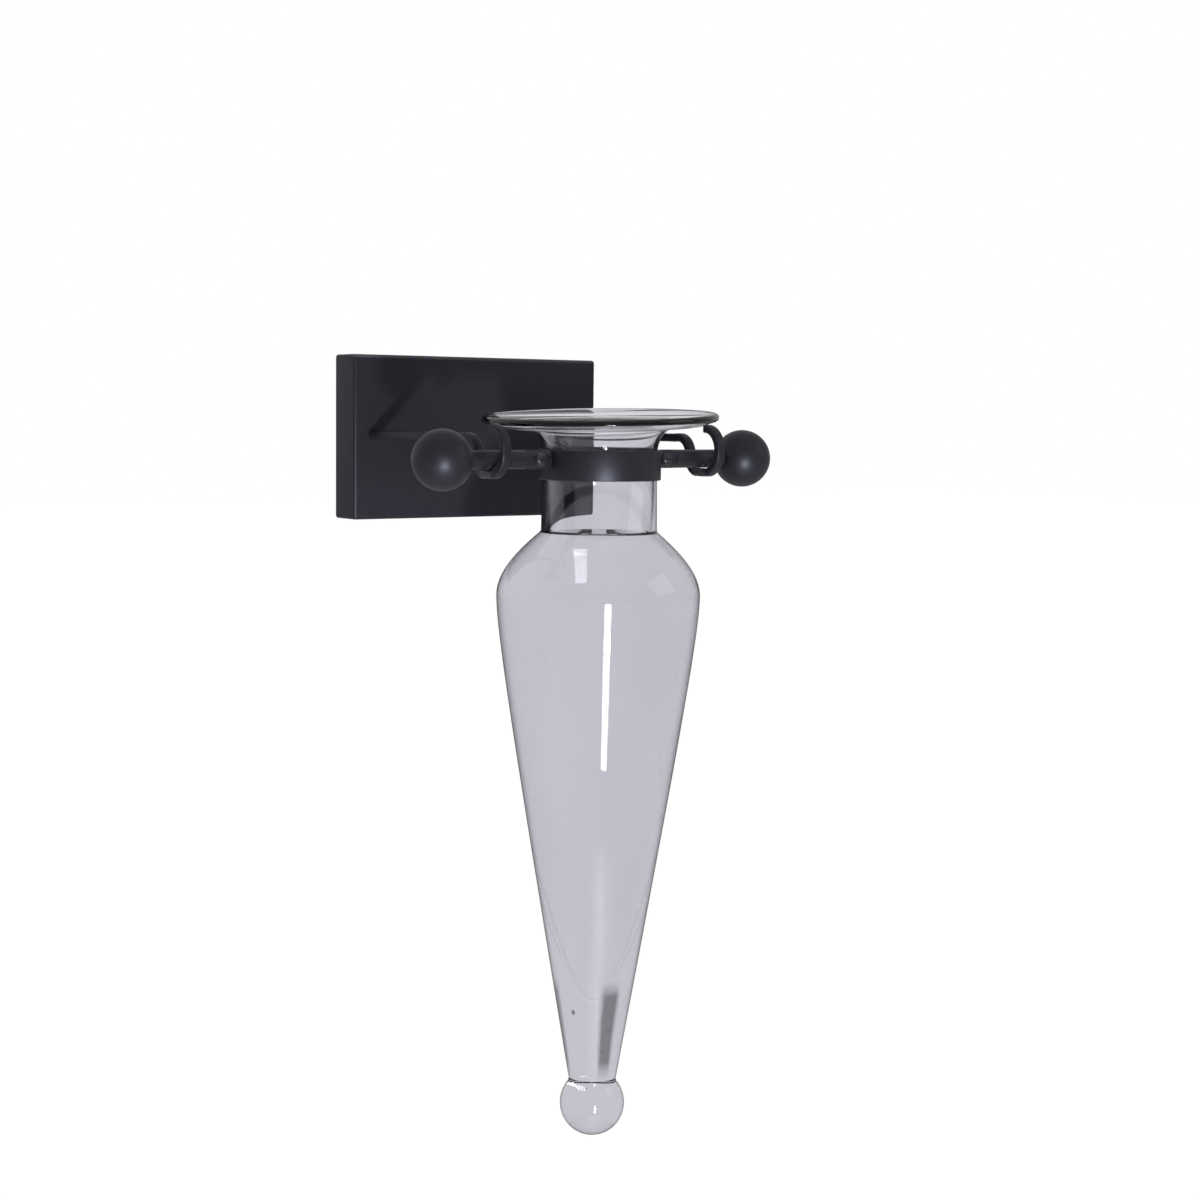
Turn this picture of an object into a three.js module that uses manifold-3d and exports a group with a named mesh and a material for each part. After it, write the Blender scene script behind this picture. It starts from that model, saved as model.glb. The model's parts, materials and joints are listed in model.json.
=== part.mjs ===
// Wall sconce vase: a black iron wall plate with two hooked arms, and a clear
// glass amphora whose neck hangs in a split collar. The collar's side rods end
// in ball finials and lie in the hooks. Millimetres, +Z up. The origin is the
// middle of the back on the wall, +Y points into the wall, -Y into the room.
import * as THREE from 'three';
import { mergeVertices } from 'three/addons/utils/BufferGeometryUtils.js';
import Module from 'manifold-3d';

const wasm = await Module();
wasm.setup();

// Fits and clearances
const GAP = 0.3; // between pieces that touch or turn in each other
const CROWN = 0.6; // flat top of a screw's head, as a share of its radius
const PAST = 1; // how far a cutting body runs past the face that it cuts

// Wall plate, a folded pan that is open at the back
const PLATE_HEIGHT = 83;
const PLATE_DEPTH = 19;
const PLATE_SHEET = 2;
const PLATE_EDGE = 1.4; // rounding of the folded edges
const PLATE_MARGIN = 11; // past the middle of each arm

// Mounting strip, a channel that is screwed to the wall inside the plate
const STRIP_WIDTH = 40;
const STRIP_DEPTH = 13;
const STRIP_SHEET = 2;
const KEYHOLE_SPACING = 44;
const KEYHOLE_HEAD_R = 4.6;
const KEYHOLE_SLOT_R = 2.6;
const KEYHOLE_SLOT_RISE = 7;

// Lock screw: headless, from the strip's lower flange down into the plate's bottom
const LOCK_R = 2;
const LOCK_LENGTH = 7;
const LOCK_SUNK = 0.2; // its lower end above the plate's underside
const LOCK_CHAMFER = 0.4;

// Arms: flat bar that runs out from the plate and bends into an open hook
const ARM_CLEAR = 3.7; // between the glass lip and each arm
const ARM_WIDTH = 4.6;
const ARM_THICKNESS = 4;
const ARM_RISE = 10; // of the straight run above the rod's axis
const ARM_EDGE = 0.7; // rounding of the bar's edges
const ARM_SPIGOT_R = 2;
const ARM_SPIGOT_LENGTH = 8;
const ARM_NUT_FLATS = 8;
const ARM_NUT_THICKNESS = 3;
const ARCH_R = 8.5; // middle line of the bend that drops behind the rod
const ARCH_CLEAR = 3.2; // between the resting rod and the drop
const HOOK_CLEAR = 4; // how much wider the front of the hook bends than the rod
const HOOK_FLAT_FRONT = 2.5; // level bottom, in front of the rod's axis
const HOOK_FLAT_BACK = 1.7; // level bottom, behind the rod's axis
const HOOK_TIP = 2; // straight end of the hook, back towards the wall

// Side rods
const REACH = 127; // wall to the rod's axis
const ROD_DROP = 8.4; // plate's middle to the rod's axis
const ROD_R = 4.5;
const ROD_START = 0.9; // from the collar to the fork's end
const FORK_CLEAR = 0.6; // between the ears' ends and the bottom of the slot
const FORK_FLAT = 0.6; // depth of the flats where the screw and the nut sit
const ROD_SPIGOT_R = 2.5;
const ROD_SPIGOT_LENGTH = 13;
const ROD_CHAMFER = 0.6;

// Ball finials
const BALL_R = 14.3;
const BALL_OUT = 25.4; // from the middle of an arm to the middle of the ball
const BALL_SPIGOT_CLEAR = 1.4; // depth of the bore past the spigot's end

// Collar: two half bands with an ear at each end
const COLLAR_R = 29.5;
const COLLAR_SHEET = 1.7;
const COLLAR_TOP = 4.6; // above the rod's axis
const COLLAR_HEIGHT = 14.4;
const EAR_LENGTH = 13.9; // outside the band
const EAR_SCREW_IN = 6.2; // from the ear's end to its screw

// Screws and nuts that clamp the ears in the forks
const SCREW_R = 1.5;
const SCREW_HEAD_R = 3;
const SCREW_HEAD_HEIGHT = 2.2;
const SCREW_NUT_FLATS = 5.5;
const SCREW_NUT_THICKNESS = 2.4;
const SCREW_PAST_NUT = 0.8;

// Glass, with heights measured from the collar's top edge, which it hangs on
const LIP_R = 57;
const LIP_TOP = 17;
const LIP_BEAD_R = 1.9; // half the thickness of the rolled rim
const BEAD_START = 0.44; // where the bead leaves the lip's underside, half turns down
const LIP_FLAT_R = 50;
const LIP_FLAT_RISE = 11.4; // underside of the nearly level part of the lip
const LIP_FLAT_INNER_R = 39;
const LIP_SAG = 0.6; // the lip's inner part lies this much lower
const LIP_LEAN = 3.1; // degrees that the blown lip is out of square with the body
const LIP_LOW_SIDE = 213; // degrees from +X to its lowest point
const LIP_LEAN_START = 1; // height where the lean begins
const FLARE_START = 2.6; // below the collar's top, where the neck begins to open
const FLARE_RISE = 4.4; // end of its upright part, above the collar's top
const FLARE_REACH = 4; // outside the neck, where the flare turns level
const GLASS_WALL = 2;
const NECK_BOTTOM = -39.2;
const NECK_CREASE = 0.5; // how far the shoulder starts outside the neck
const SHOULDER_R = 49.2;
const SHOULDER_LENGTH = 31;
const SHOULDER_SLOPE = [7, 6.4]; // how it leaves the crease: out, down
const SHOULDER_FULL = 13; // above its widest point, where its bend ends
const TAPER_LENGTH = 236.5;
const TAPER_START = 18.9; // upright stretch at its top
const TAPER_BELLY = [26, 84]; // outside the pinch, below the shoulder
const PINCH_R = 12.1; // narrowest stretch above the foot
const PINCH_GROOVE = 0.5;
const CAVITY_TURN = 154; // shoulder to where the hollow leaves the outer wall
const CAVITY_TIP = 47; // length of its rounded end
const FOOT_R = 15.9;
const FOOT_NECK = 4.6; // length between the pinch and the foot's ball

// Fineness of the round shapes
const GLASS_SIDES = 48;
const BALL_SIDES = 32;
const BALL_RINGS = 14;
const ROD_SIDES = 24;
const SMALL_SIDES = 16;
const BEND_STEPS = 7;
const COLLAR_STEPS = 24;
const GLASS_STEPS = 8; // along the lip, the shoulder and the cavity's tip
const TAPER_STEPS = 14;
const FOOT_STEPS = 11;
const BEAD_STEPS = 6;

// Places that follow from the sizes
const ROD_Y = -REACH;
const ROD_Z = -ROD_DROP;
const PLATE_FRONT = -PLATE_DEPTH;
const STRIP_HALF_HEIGHT = PLATE_HEIGHT / 2 - PLATE_SHEET - GAP;
const LOCK_Y = -STRIP_DEPTH / 2;
const ARM_X = LIP_R + ARM_CLEAR + ARM_WIDTH / 2;
const BALL_X = ARM_X + BALL_OUT;
const PLATE_WIDTH = 2 * (ARM_X + PLATE_MARGIN);
const COLLAR_BORE_R = COLLAR_R - COLLAR_SHEET;
const NECK_R = COLLAR_BORE_R - GAP;
const EAR_HALF = GAP / 2 + COLLAR_SHEET; // middle plane to an ear's outer face
const EAR_END = COLLAR_R + EAR_LENGTH;
const EAR_SCREW_X = EAR_END - EAR_SCREW_IN;
const ROD_INNER_END = COLLAR_R + ROD_START;
const FORK_END = EAR_END + FORK_CLEAR;
const FORK_HALF = ROD_R - FORK_FLAT;
const BALL_FLAT = Math.sqrt(BALL_R ** 2 - (ROD_R + GAP) ** 2); // middle to the flat
const ROD_SHOULDER = BALL_X - BALL_FLAT - GAP;
const SCREW_SEAT = FORK_HALF + GAP;
const HOOK_BOTTOM = -(ROD_R + GAP + ARM_THICKNESS / 2);
const ARCH_BACK = ARCH_CLEAR - HOOK_BOTTOM;
const HOOK_R = HOOK_CLEAR - HOOK_BOTTOM;
const ARM_Z = ROD_Z + ARM_RISE;
const ARM_NUT_FRONT = PLATE_FRONT + PLATE_SHEET + GAP;

// Shape plane (x, y) to the side plane: x becomes Y, y becomes Z, depth X.
const SIDE_PLANE = new THREE.Matrix4().makeBasis(
  new THREE.Vector3(0, 1, 0),
  new THREE.Vector3(0, 0, 1),
  new THREE.Vector3(1, 0, 0),
);

const iron = new THREE.MeshStandardMaterial({ color: 0x24262c, roughness: 0.55, metalness: 0.6 });
const ironInside = new THREE.MeshStandardMaterial({ color: 0x1c1d20, roughness: 0.7, metalness: 0.6 });
const screwSteel = new THREE.MeshStandardMaterial({ color: 0x2b2c30, roughness: 0.4, metalness: 0.9 });
const clearGlass = new THREE.MeshStandardMaterial({
  color: 0xecebf2,
  roughness: 0.03,
  metalness: 0,
  transparent: true,
  opacity: 0.35,
});

// Turn a closed mesh into a solid that can be joined and cut.
function solid(geometry) {
  const bare = geometry.clone();
  bare.deleteAttribute('normal');
  bare.deleteAttribute('uv');
  const merged = mergeVertices(bare, 1e-4);
  return new wasm.Manifold(new wasm.Mesh({
    numProp: 3,
    vertProperties: new Float32Array(merged.attributes.position.array),
    triVerts: new Uint32Array(merged.index.array),
  }));
}

// Turn a solid back into a geometry with flat-shaded faces.
function geometryOf(body) {
  const mesh = body.getMesh();
  const geometry = new THREE.BufferGeometry();
  geometry.setAttribute('position', new THREE.BufferAttribute(mesh.vertProperties, 3));
  geometry.setIndex(new THREE.BufferAttribute(mesh.triVerts, 1));
  geometry.computeVertexNormals();
  return geometry;
}

function cut(body, tools) {
  return tools.reduce((rest, tool) => rest.subtract(tool), body);
}

// A box between two corners.
function block(low, high) {
  const size = high.map((value, i) => value - low[i]);
  const geometry = new THREE.BoxGeometry(...size);
  geometry.translate(...low.map((value, i) => value + size[i] / 2));
  return solid(geometry);
}

// A bar of the given number of sides along an axis, from one place to another.
function bar(axis, radius, from, to, sides = SMALL_SIDES, across = [0, 0]) {
  const geometry = new THREE.CylinderGeometry(radius, radius, Math.abs(to - from), sides);
  const middle = (from + to) / 2;
  if (axis === 'x') {
    geometry.rotateZ(-Math.PI / 2);
    geometry.translate(middle, across[0], across[1]);
  } else if (axis === 'y') {
    geometry.translate(across[0], middle, across[1]);
  } else {
    geometry.rotateX(Math.PI / 2);
    geometry.translate(across[0], across[1], middle);
  }
  return solid(geometry);
}

// A nut along Y, its front face at the given place.
function nut(flats, thickness, bore, x, front, z) {
  const corner = flats / 2 / Math.cos(Math.PI / 6);
  const hexagon = bar('y', corner, front, front + thickness, 6, [x, z]);
  return hexagon.subtract(bar('y', bore, front - PAST, front + thickness + PAST, SMALL_SIDES, [x, z]));
}

function piece(name, body, material) {
  const geometry = body.isBufferGeometry ? body : geometryOf(body);
  const mesh = new THREE.Mesh(geometry, material);
  mesh.name = name;
  return mesh;
}

// Wall plate: a pan with rounded front edges, holes for the arms' spigots and
// one in its bottom for the lock screw.
function wallPlate() {
  const face = new THREE.Shape();
  const w = PLATE_WIDTH / 2 - PLATE_EDGE;
  const h = PLATE_HEIGHT / 2 - PLATE_EDGE;
  face.moveTo(-w, -h);
  face.lineTo(w, -h);
  face.lineTo(w, h);
  face.lineTo(-w, h);
  face.closePath();
  const outer = new THREE.ExtrudeGeometry(face, {
    depth: PLATE_DEPTH,
    bevelSize: PLATE_EDGE,
    bevelThickness: PLATE_EDGE,
    bevelSegments: 3,
  });
  outer.rotateX(Math.PI / 2);
  outer.translate(0, PLATE_EDGE, 0);
  const inW = PLATE_WIDTH / 2 - PLATE_SHEET;
  const inH = PLATE_HEIGHT / 2 - PLATE_SHEET;
  const back = PLATE_DEPTH + PLATE_EDGE * 2;
  const tools = [
    block([-PLATE_WIDTH, 0, -PLATE_HEIGHT], [PLATE_WIDTH, back, PLATE_HEIGHT]),
    block([-inW, PLATE_FRONT + PLATE_SHEET, -inH], [inW, PAST, inH]),
    bar('z', LOCK_R + GAP, -PLATE_HEIGHT / 2 - PAST, -inH + PAST, SMALL_SIDES, [0, LOCK_Y]),
  ];
  for (const side of [-1, 1]) {
    tools.push(bar('y', ARM_SPIGOT_R + GAP, PLATE_FRONT - PAST, PLATE_FRONT + PLATE_SHEET + PAST,
      SMALL_SIDES, [side * ARM_X, ARM_Z]));
  }
  return cut(solid(outer), tools);
}

// Mounting strip: a channel with two keyholes, whose back lies on the wall.
function mountingStrip() {
  const side = new THREE.Shape();
  const inner = STRIP_HALF_HEIGHT - STRIP_SHEET;
  side.moveTo(0, -STRIP_HALF_HEIGHT);
  side.lineTo(0, STRIP_HALF_HEIGHT);
  side.lineTo(-STRIP_DEPTH, STRIP_HALF_HEIGHT);
  side.lineTo(-STRIP_DEPTH, inner);
  side.lineTo(-STRIP_SHEET, inner);
  side.lineTo(-STRIP_SHEET, -inner);
  side.lineTo(-STRIP_DEPTH, -inner);
  side.lineTo(-STRIP_DEPTH, -STRIP_HALF_HEIGHT);
  side.closePath();
  const channel = new THREE.ExtrudeGeometry(side, { depth: STRIP_WIDTH, bevelEnabled: false });
  channel.applyMatrix4(SIDE_PLANE);
  channel.translate(-STRIP_WIDTH / 2, 0, 0);
  const tools = [
    bar('z', LOCK_R + GAP, -STRIP_HALF_HEIGHT - PAST, -inner + PAST, SMALL_SIDES, [0, LOCK_Y]),
  ];
  for (const z of [-KEYHOLE_SPACING / 2, KEYHOLE_SPACING / 2]) {
    const low = -STRIP_SHEET - PAST;
    tools.push(bar('y', KEYHOLE_HEAD_R, low, PAST, SMALL_SIDES, [0, z]));
    tools.push(bar('y', KEYHOLE_SLOT_R, low, PAST, SMALL_SIDES, [0, z + KEYHOLE_SLOT_RISE]));
    tools.push(block([-KEYHOLE_SLOT_R, low, z], [KEYHOLE_SLOT_R, PAST, z + KEYHOLE_SLOT_RISE]));
  }
  return cut(solid(channel), tools);
}

// Lock screw: a headless shank through both sheets, its lower end within the
// plate's bottom.
function lockScrew() {
  const bottom = -PLATE_HEIGHT / 2 + LOCK_SUNK;
  const top = bottom + LOCK_LENGTH;
  const outline = [
    [0, bottom],
    [LOCK_R - LOCK_CHAMFER, bottom],
    [LOCK_R, bottom + LOCK_CHAMFER],
    [LOCK_R, top - LOCK_CHAMFER],
    [LOCK_R - LOCK_CHAMFER, top],
    [0, top],
  ];
  const screw = lathe(outline, SMALL_SIDES);
  screw.translate(0, LOCK_Y, 0);
  return screw;
}

// A lathed body about Z from (radius, height) pairs that run upwards.
function lathe(outline, sides) {
  const points = outline.map(([r, z]) => new THREE.Vector2(r, z));
  const geometry = new THREE.LatheGeometry(points, sides);
  geometry.rotateX(Math.PI / 2);
  return geometry;
}

// The middle line of an arm in the side plane, seen from the rod's axis, as
// places with the direction of travel, from the plate to the hook's tip.
function armLine() {
  const line = [];
  const bend = (y, z, radius, from, to, steps) => {
    for (let i = 0; i <= steps; i += 1) {
      const angle = from + (to - from) * (i / steps);
      const turn = Math.sign(to - from);
      line.push({
        y: y + radius * Math.cos(angle),
        z: z + radius * Math.sin(angle),
        dy: -turn * Math.sin(angle),
        dz: turn * Math.cos(angle),
      });
    }
  };
  const archY = ARCH_BACK + ARCH_R;
  const archZ = ARM_RISE - ARCH_R;
  line.push({ y: REACH + PLATE_FRONT - GAP, z: ARM_RISE, dy: -1, dz: 0 });
  bend(archY, archZ, ARCH_R, Math.PI / 2, Math.PI, BEND_STEPS);
  const bowlR = ARCH_BACK - HOOK_FLAT_BACK;
  bend(HOOK_FLAT_BACK, HOOK_BOTTOM + bowlR, bowlR, 0, -Math.PI / 2, BEND_STEPS);
  bend(-HOOK_FLAT_FRONT, HOOK_BOTTOM + HOOK_R, HOOK_R, -Math.PI / 2, -3 * Math.PI / 2, BEND_STEPS * 2);
  const last = line[line.length - 1];
  line.push({ y: last.y + HOOK_TIP, z: last.z, dy: 1, dz: 0 });
  return line;
}

// Arm: the line given its thickness, extruded across, with a threaded spigot.
function arm(side) {
  const half = ARM_THICKNESS / 2 - ARM_EDGE;
  const line = armLine();
  const outline = [];
  for (const p of line) {
    outline.push(new THREE.Vector2(p.y - p.dz * half, p.z + p.dy * half));
  }
  for (const p of [...line].reverse()) {
    outline.push(new THREE.Vector2(p.y + p.dz * half, p.z - p.dy * half));
  }
  const bent = new THREE.ExtrudeGeometry(new THREE.Shape(outline), {
    depth: ARM_WIDTH - ARM_EDGE * 2,
    bevelSize: ARM_EDGE,
    bevelThickness: ARM_EDGE,
    bevelSegments: 2,
  });
  bent.applyMatrix4(SIDE_PLANE);
  bent.translate(side * ARM_X - ARM_WIDTH / 2 + ARM_EDGE, ROD_Y, ROD_Z);
  const root = PLATE_FRONT - GAP;
  const beyond = block(
    [side * ARM_X - ARM_WIDTH, root, ARM_Z - ARM_THICKNESS],
    [side * ARM_X + ARM_WIDTH, root + PAST + ARM_EDGE, ARM_Z + ARM_THICKNESS],
  );
  const spigot = bar('y', ARM_SPIGOT_R, root - PAST, root + ARM_SPIGOT_LENGTH,
    SMALL_SIDES, [side * ARM_X, ARM_Z]);
  return solid(bent).subtract(beyond).add(spigot);
}

function armNut(side) {
  return nut(ARM_NUT_FLATS, ARM_NUT_THICKNESS, ARM_SPIGOT_R + GAP, side * ARM_X, ARM_NUT_FRONT, ARM_Z);
}

// Side rod on +X: a fork that takes both ears, the round stretch that lies in
// the hook, and a spigot for the ball.
function rod() {
  const outline = [
    [0, ROD_INNER_END],
    [ROD_R - ROD_CHAMFER, ROD_INNER_END],
    [ROD_R, ROD_INNER_END + ROD_CHAMFER],
    [ROD_R, ROD_SHOULDER],
    [ROD_SPIGOT_R, ROD_SHOULDER],
    [ROD_SPIGOT_R, ROD_SHOULDER + ROD_SPIGOT_LENGTH],
    [0, ROD_SHOULDER + ROD_SPIGOT_LENGTH],
  ];
  const round = lathe(outline, ROD_SIDES);
  round.rotateY(Math.PI / 2);
  const slot = EAR_HALF + GAP;
  const tools = [
    block([ROD_INNER_END - PAST, -slot, -ROD_R - PAST], [FORK_END, slot, ROD_R + PAST]),
    bar('y', SCREW_R + GAP, -ROD_R - PAST, ROD_R + PAST, SMALL_SIDES, [EAR_SCREW_X, 0]),
  ];
  for (const face of [-1, 1]) {
    const low = face < 0 ? -ROD_R - PAST : FORK_HALF;
    tools.push(block([ROD_INNER_END - PAST, low, -ROD_R - PAST],
      [FORK_END, low + ROD_R + PAST - FORK_HALF, ROD_R + PAST]));
  }
  return cut(solid(round), tools);
}

// Ball finial on +X: a ball with a flat and a blind bore on the rod's side.
function finial() {
  const outline = [[0, -BALL_FLAT + ROD_SPIGOT_LENGTH - GAP + BALL_SPIGOT_CLEAR]];
  const boreR = ROD_SPIGOT_R + GAP;
  outline.push([boreR, outline[0][1]]);
  outline.push([boreR, -BALL_FLAT]);
  const start = Math.acos(-BALL_FLAT / BALL_R);
  for (let i = 0; i <= BALL_RINGS; i += 1) {
    const angle = start * (1 - i / BALL_RINGS);
    outline.push([i === BALL_RINGS ? 0 : BALL_R * Math.sin(angle), BALL_R * Math.cos(angle)]);
  }
  const ball = lathe(outline, BALL_SIDES);
  ball.rotateY(Math.PI / 2);
  ball.translate(BALL_X, 0, 0);
  return ball;
}

// Half of the collar on the room's side: a half band with two ears as high as
// the rods, with holes for the clamping screws.
function halfCollar() {
  const half = new THREE.Shape();
  const y = -GAP / 2;
  const outerX = Math.sqrt(COLLAR_R ** 2 - EAR_HALF ** 2);
  const innerX = Math.sqrt(COLLAR_BORE_R ** 2 - y ** 2);
  half.moveTo(-EAR_END, y);
  half.lineTo(-EAR_END, -EAR_HALF);
  const outerStart = Math.atan2(-EAR_HALF, -outerX);
  const outerEnd = Math.atan2(-EAR_HALF, outerX);
  for (let i = 0; i <= COLLAR_STEPS; i += 1) {
    const angle = outerStart + (outerEnd - outerStart) * (i / COLLAR_STEPS);
    half.lineTo(COLLAR_R * Math.cos(angle), COLLAR_R * Math.sin(angle));
  }
  half.lineTo(EAR_END, -EAR_HALF);
  half.lineTo(EAR_END, y);
  const innerStart = Math.atan2(y, innerX);
  const innerEnd = Math.atan2(y, -innerX);
  for (let i = 0; i <= COLLAR_STEPS; i += 1) {
    const angle = innerStart + (innerEnd - innerStart) * (i / COLLAR_STEPS);
    half.lineTo(COLLAR_BORE_R * Math.cos(angle), COLLAR_BORE_R * Math.sin(angle));
  }
  const band = new THREE.ExtrudeGeometry(half, { depth: COLLAR_HEIGHT, bevelEnabled: false });
  const bottom = COLLAR_TOP - COLLAR_HEIGHT;
  band.translate(0, 0, bottom);
  const tools = [];
  for (const side of [-1, 1]) {
    const near = side * (COLLAR_R + GAP);
    const far = side * (EAR_END + PAST);
    const low = Math.min(near, far);
    const high = Math.max(near, far);
    tools.push(block([low, -EAR_HALF - PAST, bottom - PAST], [high, PAST, -ROD_R]));
    tools.push(block([low, -EAR_HALF - PAST, ROD_R], [high, PAST, COLLAR_TOP + PAST]));
    tools.push(bar('y', SCREW_R + GAP, -EAR_HALF - PAST, PAST, SMALL_SIDES, [side * EAR_SCREW_X, 0]));
  }
  return cut(solid(band), tools);
}

// Clamping screw, head to the room, on +X.
function collarScrew() {
  const end = SCREW_SEAT + SCREW_NUT_THICKNESS + SCREW_PAST_NUT;
  const outline = [
    [0, -SCREW_SEAT - SCREW_HEAD_HEIGHT],
    [SCREW_HEAD_R * CROWN, -SCREW_SEAT - SCREW_HEAD_HEIGHT],
    [SCREW_HEAD_R, -SCREW_SEAT - SCREW_HEAD_HEIGHT / 2],
    [SCREW_HEAD_R, -SCREW_SEAT],
    [SCREW_R, -SCREW_SEAT],
    [SCREW_R, end],
    [0, end],
  ];
  const screw = lathe(outline, SMALL_SIDES);
  screw.rotateX(-Math.PI / 2);
  screw.translate(EAR_SCREW_X, 0, 0);
  return screw;
}

function collarNut() {
  return nut(SCREW_NUT_FLATS, SCREW_NUT_THICKNESS, SCREW_R + GAP, EAR_SCREW_X, SCREW_SEAT, 0);
}

// A cubic curve through (radius, height) control pairs, as that many steps.
function curve(controls, steps) {
  const points = controls.map(([r, z]) => new THREE.Vector2(r, z));
  return new THREE.CubicBezierCurve(...points).getPoints(steps).map((p) => [p.x, p.y]);
}

// The radius of a curve's steps at a height between its ends.
function radiusAt(steps, height) {
  const next = steps.findIndex(([, z]) => z <= height);
  const [r0, z0] = steps[next - 1];
  const [r1, z1] = steps[next];
  return r0 + ((r1 - r0) * (z0 - height)) / (z0 - z1);
}

// Let the lip lean: heights above the neck shift in proportion to how far a
// point lies towards the low side.
function leaned(geometry) {
  const slope = Math.tan(THREE.MathUtils.degToRad(LIP_LEAN));
  const low = THREE.MathUtils.degToRad(LIP_LOW_SIDE);
  const place = geometry.attributes.position;
  for (let i = 0; i < place.count; i += 1) {
    const share = THREE.MathUtils.smoothstep(place.getZ(i), LIP_LEAN_START, LIP_FLAT_RISE);
    const towards = place.getX(i) * Math.cos(low) + place.getY(i) * Math.sin(low);
    place.setZ(i, place.getZ(i) - share * towards * slope);
  }
  return geometry;
}

// Glass: lip, neck, shoulder, long taper and ball foot outside, and the
// hollow inside, as one closed profile turned about the axis.
function glassVase() {
  const shoulderZ = NECK_BOTTOM - SHOULDER_LENGTH;
  const pinchZ = shoulderZ - TAPER_LENGTH;
  const shoulder = (inset) => [
    [NECK_R + NECK_CREASE - inset, NECK_BOTTOM],
    [NECK_R + NECK_CREASE + SHOULDER_SLOPE[0] - inset, NECK_BOTTOM - SHOULDER_SLOPE[1]],
    [SHOULDER_R - inset, shoulderZ + SHOULDER_FULL],
    [SHOULDER_R - inset, shoulderZ],
  ];
  const taper = (inset) => [
    [SHOULDER_R - inset, shoulderZ],
    [SHOULDER_R - inset, shoulderZ - TAPER_START],
    [PINCH_R + TAPER_BELLY[0] - inset, shoulderZ - TAPER_BELLY[1]],
    [PINCH_R - inset, pinchZ],
  ];
  const lip = (inset) => [
    [NECK_R - inset, -FLARE_START],
    [NECK_R - inset, FLARE_RISE],
    [NECK_R + FLARE_REACH - inset / 2, LIP_FLAT_RISE + inset],
    [LIP_FLAT_INNER_R, LIP_FLAT_RISE - LIP_SAG + inset],
  ];
  const beadR = LIP_R - LIP_BEAD_R;
  const beadZ = LIP_TOP - LIP_BEAD_R;
  const bead = [];
  for (let i = 0; i <= BEAD_STEPS; i += 1) {
    const angle = Math.PI * (i / BEAD_STEPS - BEAD_START);
    bead.push([beadR + LIP_BEAD_R * Math.cos(angle), beadZ + LIP_BEAD_R * Math.sin(angle)]);
  }
  const outerTaper = curve(taper(0), TAPER_STEPS);
  const innerTaper = curve(taper(GLASS_WALL), TAPER_STEPS * 2);
  const turnZ = shoulderZ - CAVITY_TURN;
  const turnR = radiusAt(innerTaper, turnZ);
  const cavity = [];
  for (let i = 0; i <= GLASS_STEPS; i += 1) {
    const share = i / GLASS_STEPS;
    cavity.push([turnR * share, turnZ - CAVITY_TIP * (1 - share ** 2)]);
  }
  const footZ = pinchZ - FOOT_NECK - Math.sqrt(FOOT_R ** 2 - PINCH_R ** 2);
  const foot = [];
  const footStart = Math.asin(PINCH_R / FOOT_R);
  for (let i = 0; i <= FOOT_STEPS; i += 1) {
    const angle = footStart + ((Math.PI - footStart) * i) / FOOT_STEPS;
    foot.push([i === FOOT_STEPS ? 0 : FOOT_R * Math.sin(angle), footZ + FOOT_R * Math.cos(angle)]);
  }
  const outside = [
    ...curve(lip(0), GLASS_STEPS).reverse(),
    ...curve(shoulder(0), GLASS_STEPS),
    ...outerTaper.slice(1),
    [PINCH_R - PINCH_GROOVE, pinchZ - FOOT_NECK / 2],
    ...foot,
  ];
  const inside = [
    ...cavity,
    ...innerTaper.filter(([, z]) => z > turnZ + 1).reverse().filter((_, i) => i % 2 === 1),
    ...curve(shoulder(GLASS_WALL), GLASS_STEPS).reverse().slice(1),
    ...curve(lip(GLASS_WALL), GLASS_STEPS),
    [LIP_FLAT_R, LIP_FLAT_RISE + GLASS_WALL],
  ];
  const profile = [
    ...outside.reverse(),
    [LIP_FLAT_R, LIP_FLAT_RISE],
    ...bead,
    ...inside.reverse(),
  ];
  return leaned(lathe(profile, GLASS_SIDES));
}

function mirrored(body) {
  return body.mirror([1, 0, 0]);
}

const sconce = new THREE.Group();
sconce.add(piece('wall_plate', wallPlate(), iron));
sconce.add(piece('mounting_strip', mountingStrip(), ironInside));
sconce.add(piece('lock_screw', lockScrew(), screwSteel));

const cradle = new THREE.Group();
cradle.position.set(0, ROD_Y, ROD_Z);
sconce.add(cradle);
cradle.add(piece('collar_front', halfCollar(), iron));
cradle.add(piece('collar_rear', halfCollar().mirror([0, 1, 0]), iron));

for (const [name, side] of [['left', -1], ['right', 1]]) {
  const sided = (body) => (side < 0 ? mirrored(body) : body);
  sconce.add(piece(`${name}_arm`, arm(side), iron));
  sconce.add(piece(`${name}_arm_nut`, armNut(side), screwSteel));
  cradle.add(piece(`${name}_rod`, sided(rod()), iron));
  cradle.add(piece(`${name}_finial`, sided(solid(finial())), iron));
  cradle.add(piece(`${name}_collar_screw`, sided(solid(collarScrew())), screwSteel));
  cradle.add(piece(`${name}_collar_nut`, sided(collarNut()), screwSteel));
}

const vase = piece('glass_vase', glassVase(), clearGlass);
vase.position.z = COLLAR_TOP;
cradle.add(vase);

export default sconce;
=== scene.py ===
"""Looks of the wall sconce vase: satin black ironwork and a clear hand-blown amphora.

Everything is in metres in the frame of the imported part: +Z up, +Y into the wall, and
the rods' axis along X in front of the wall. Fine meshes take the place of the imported
solids at the same sizes, and each finish is a procedural material.
"""

from __future__ import annotations

import json
import logging
import math
from collections.abc import Callable, Iterable, Sequence
from dataclasses import dataclass
from enum import Enum

import bmesh
import bpy
from mathutils import Matrix, Quaternion, Vector, noise

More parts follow.
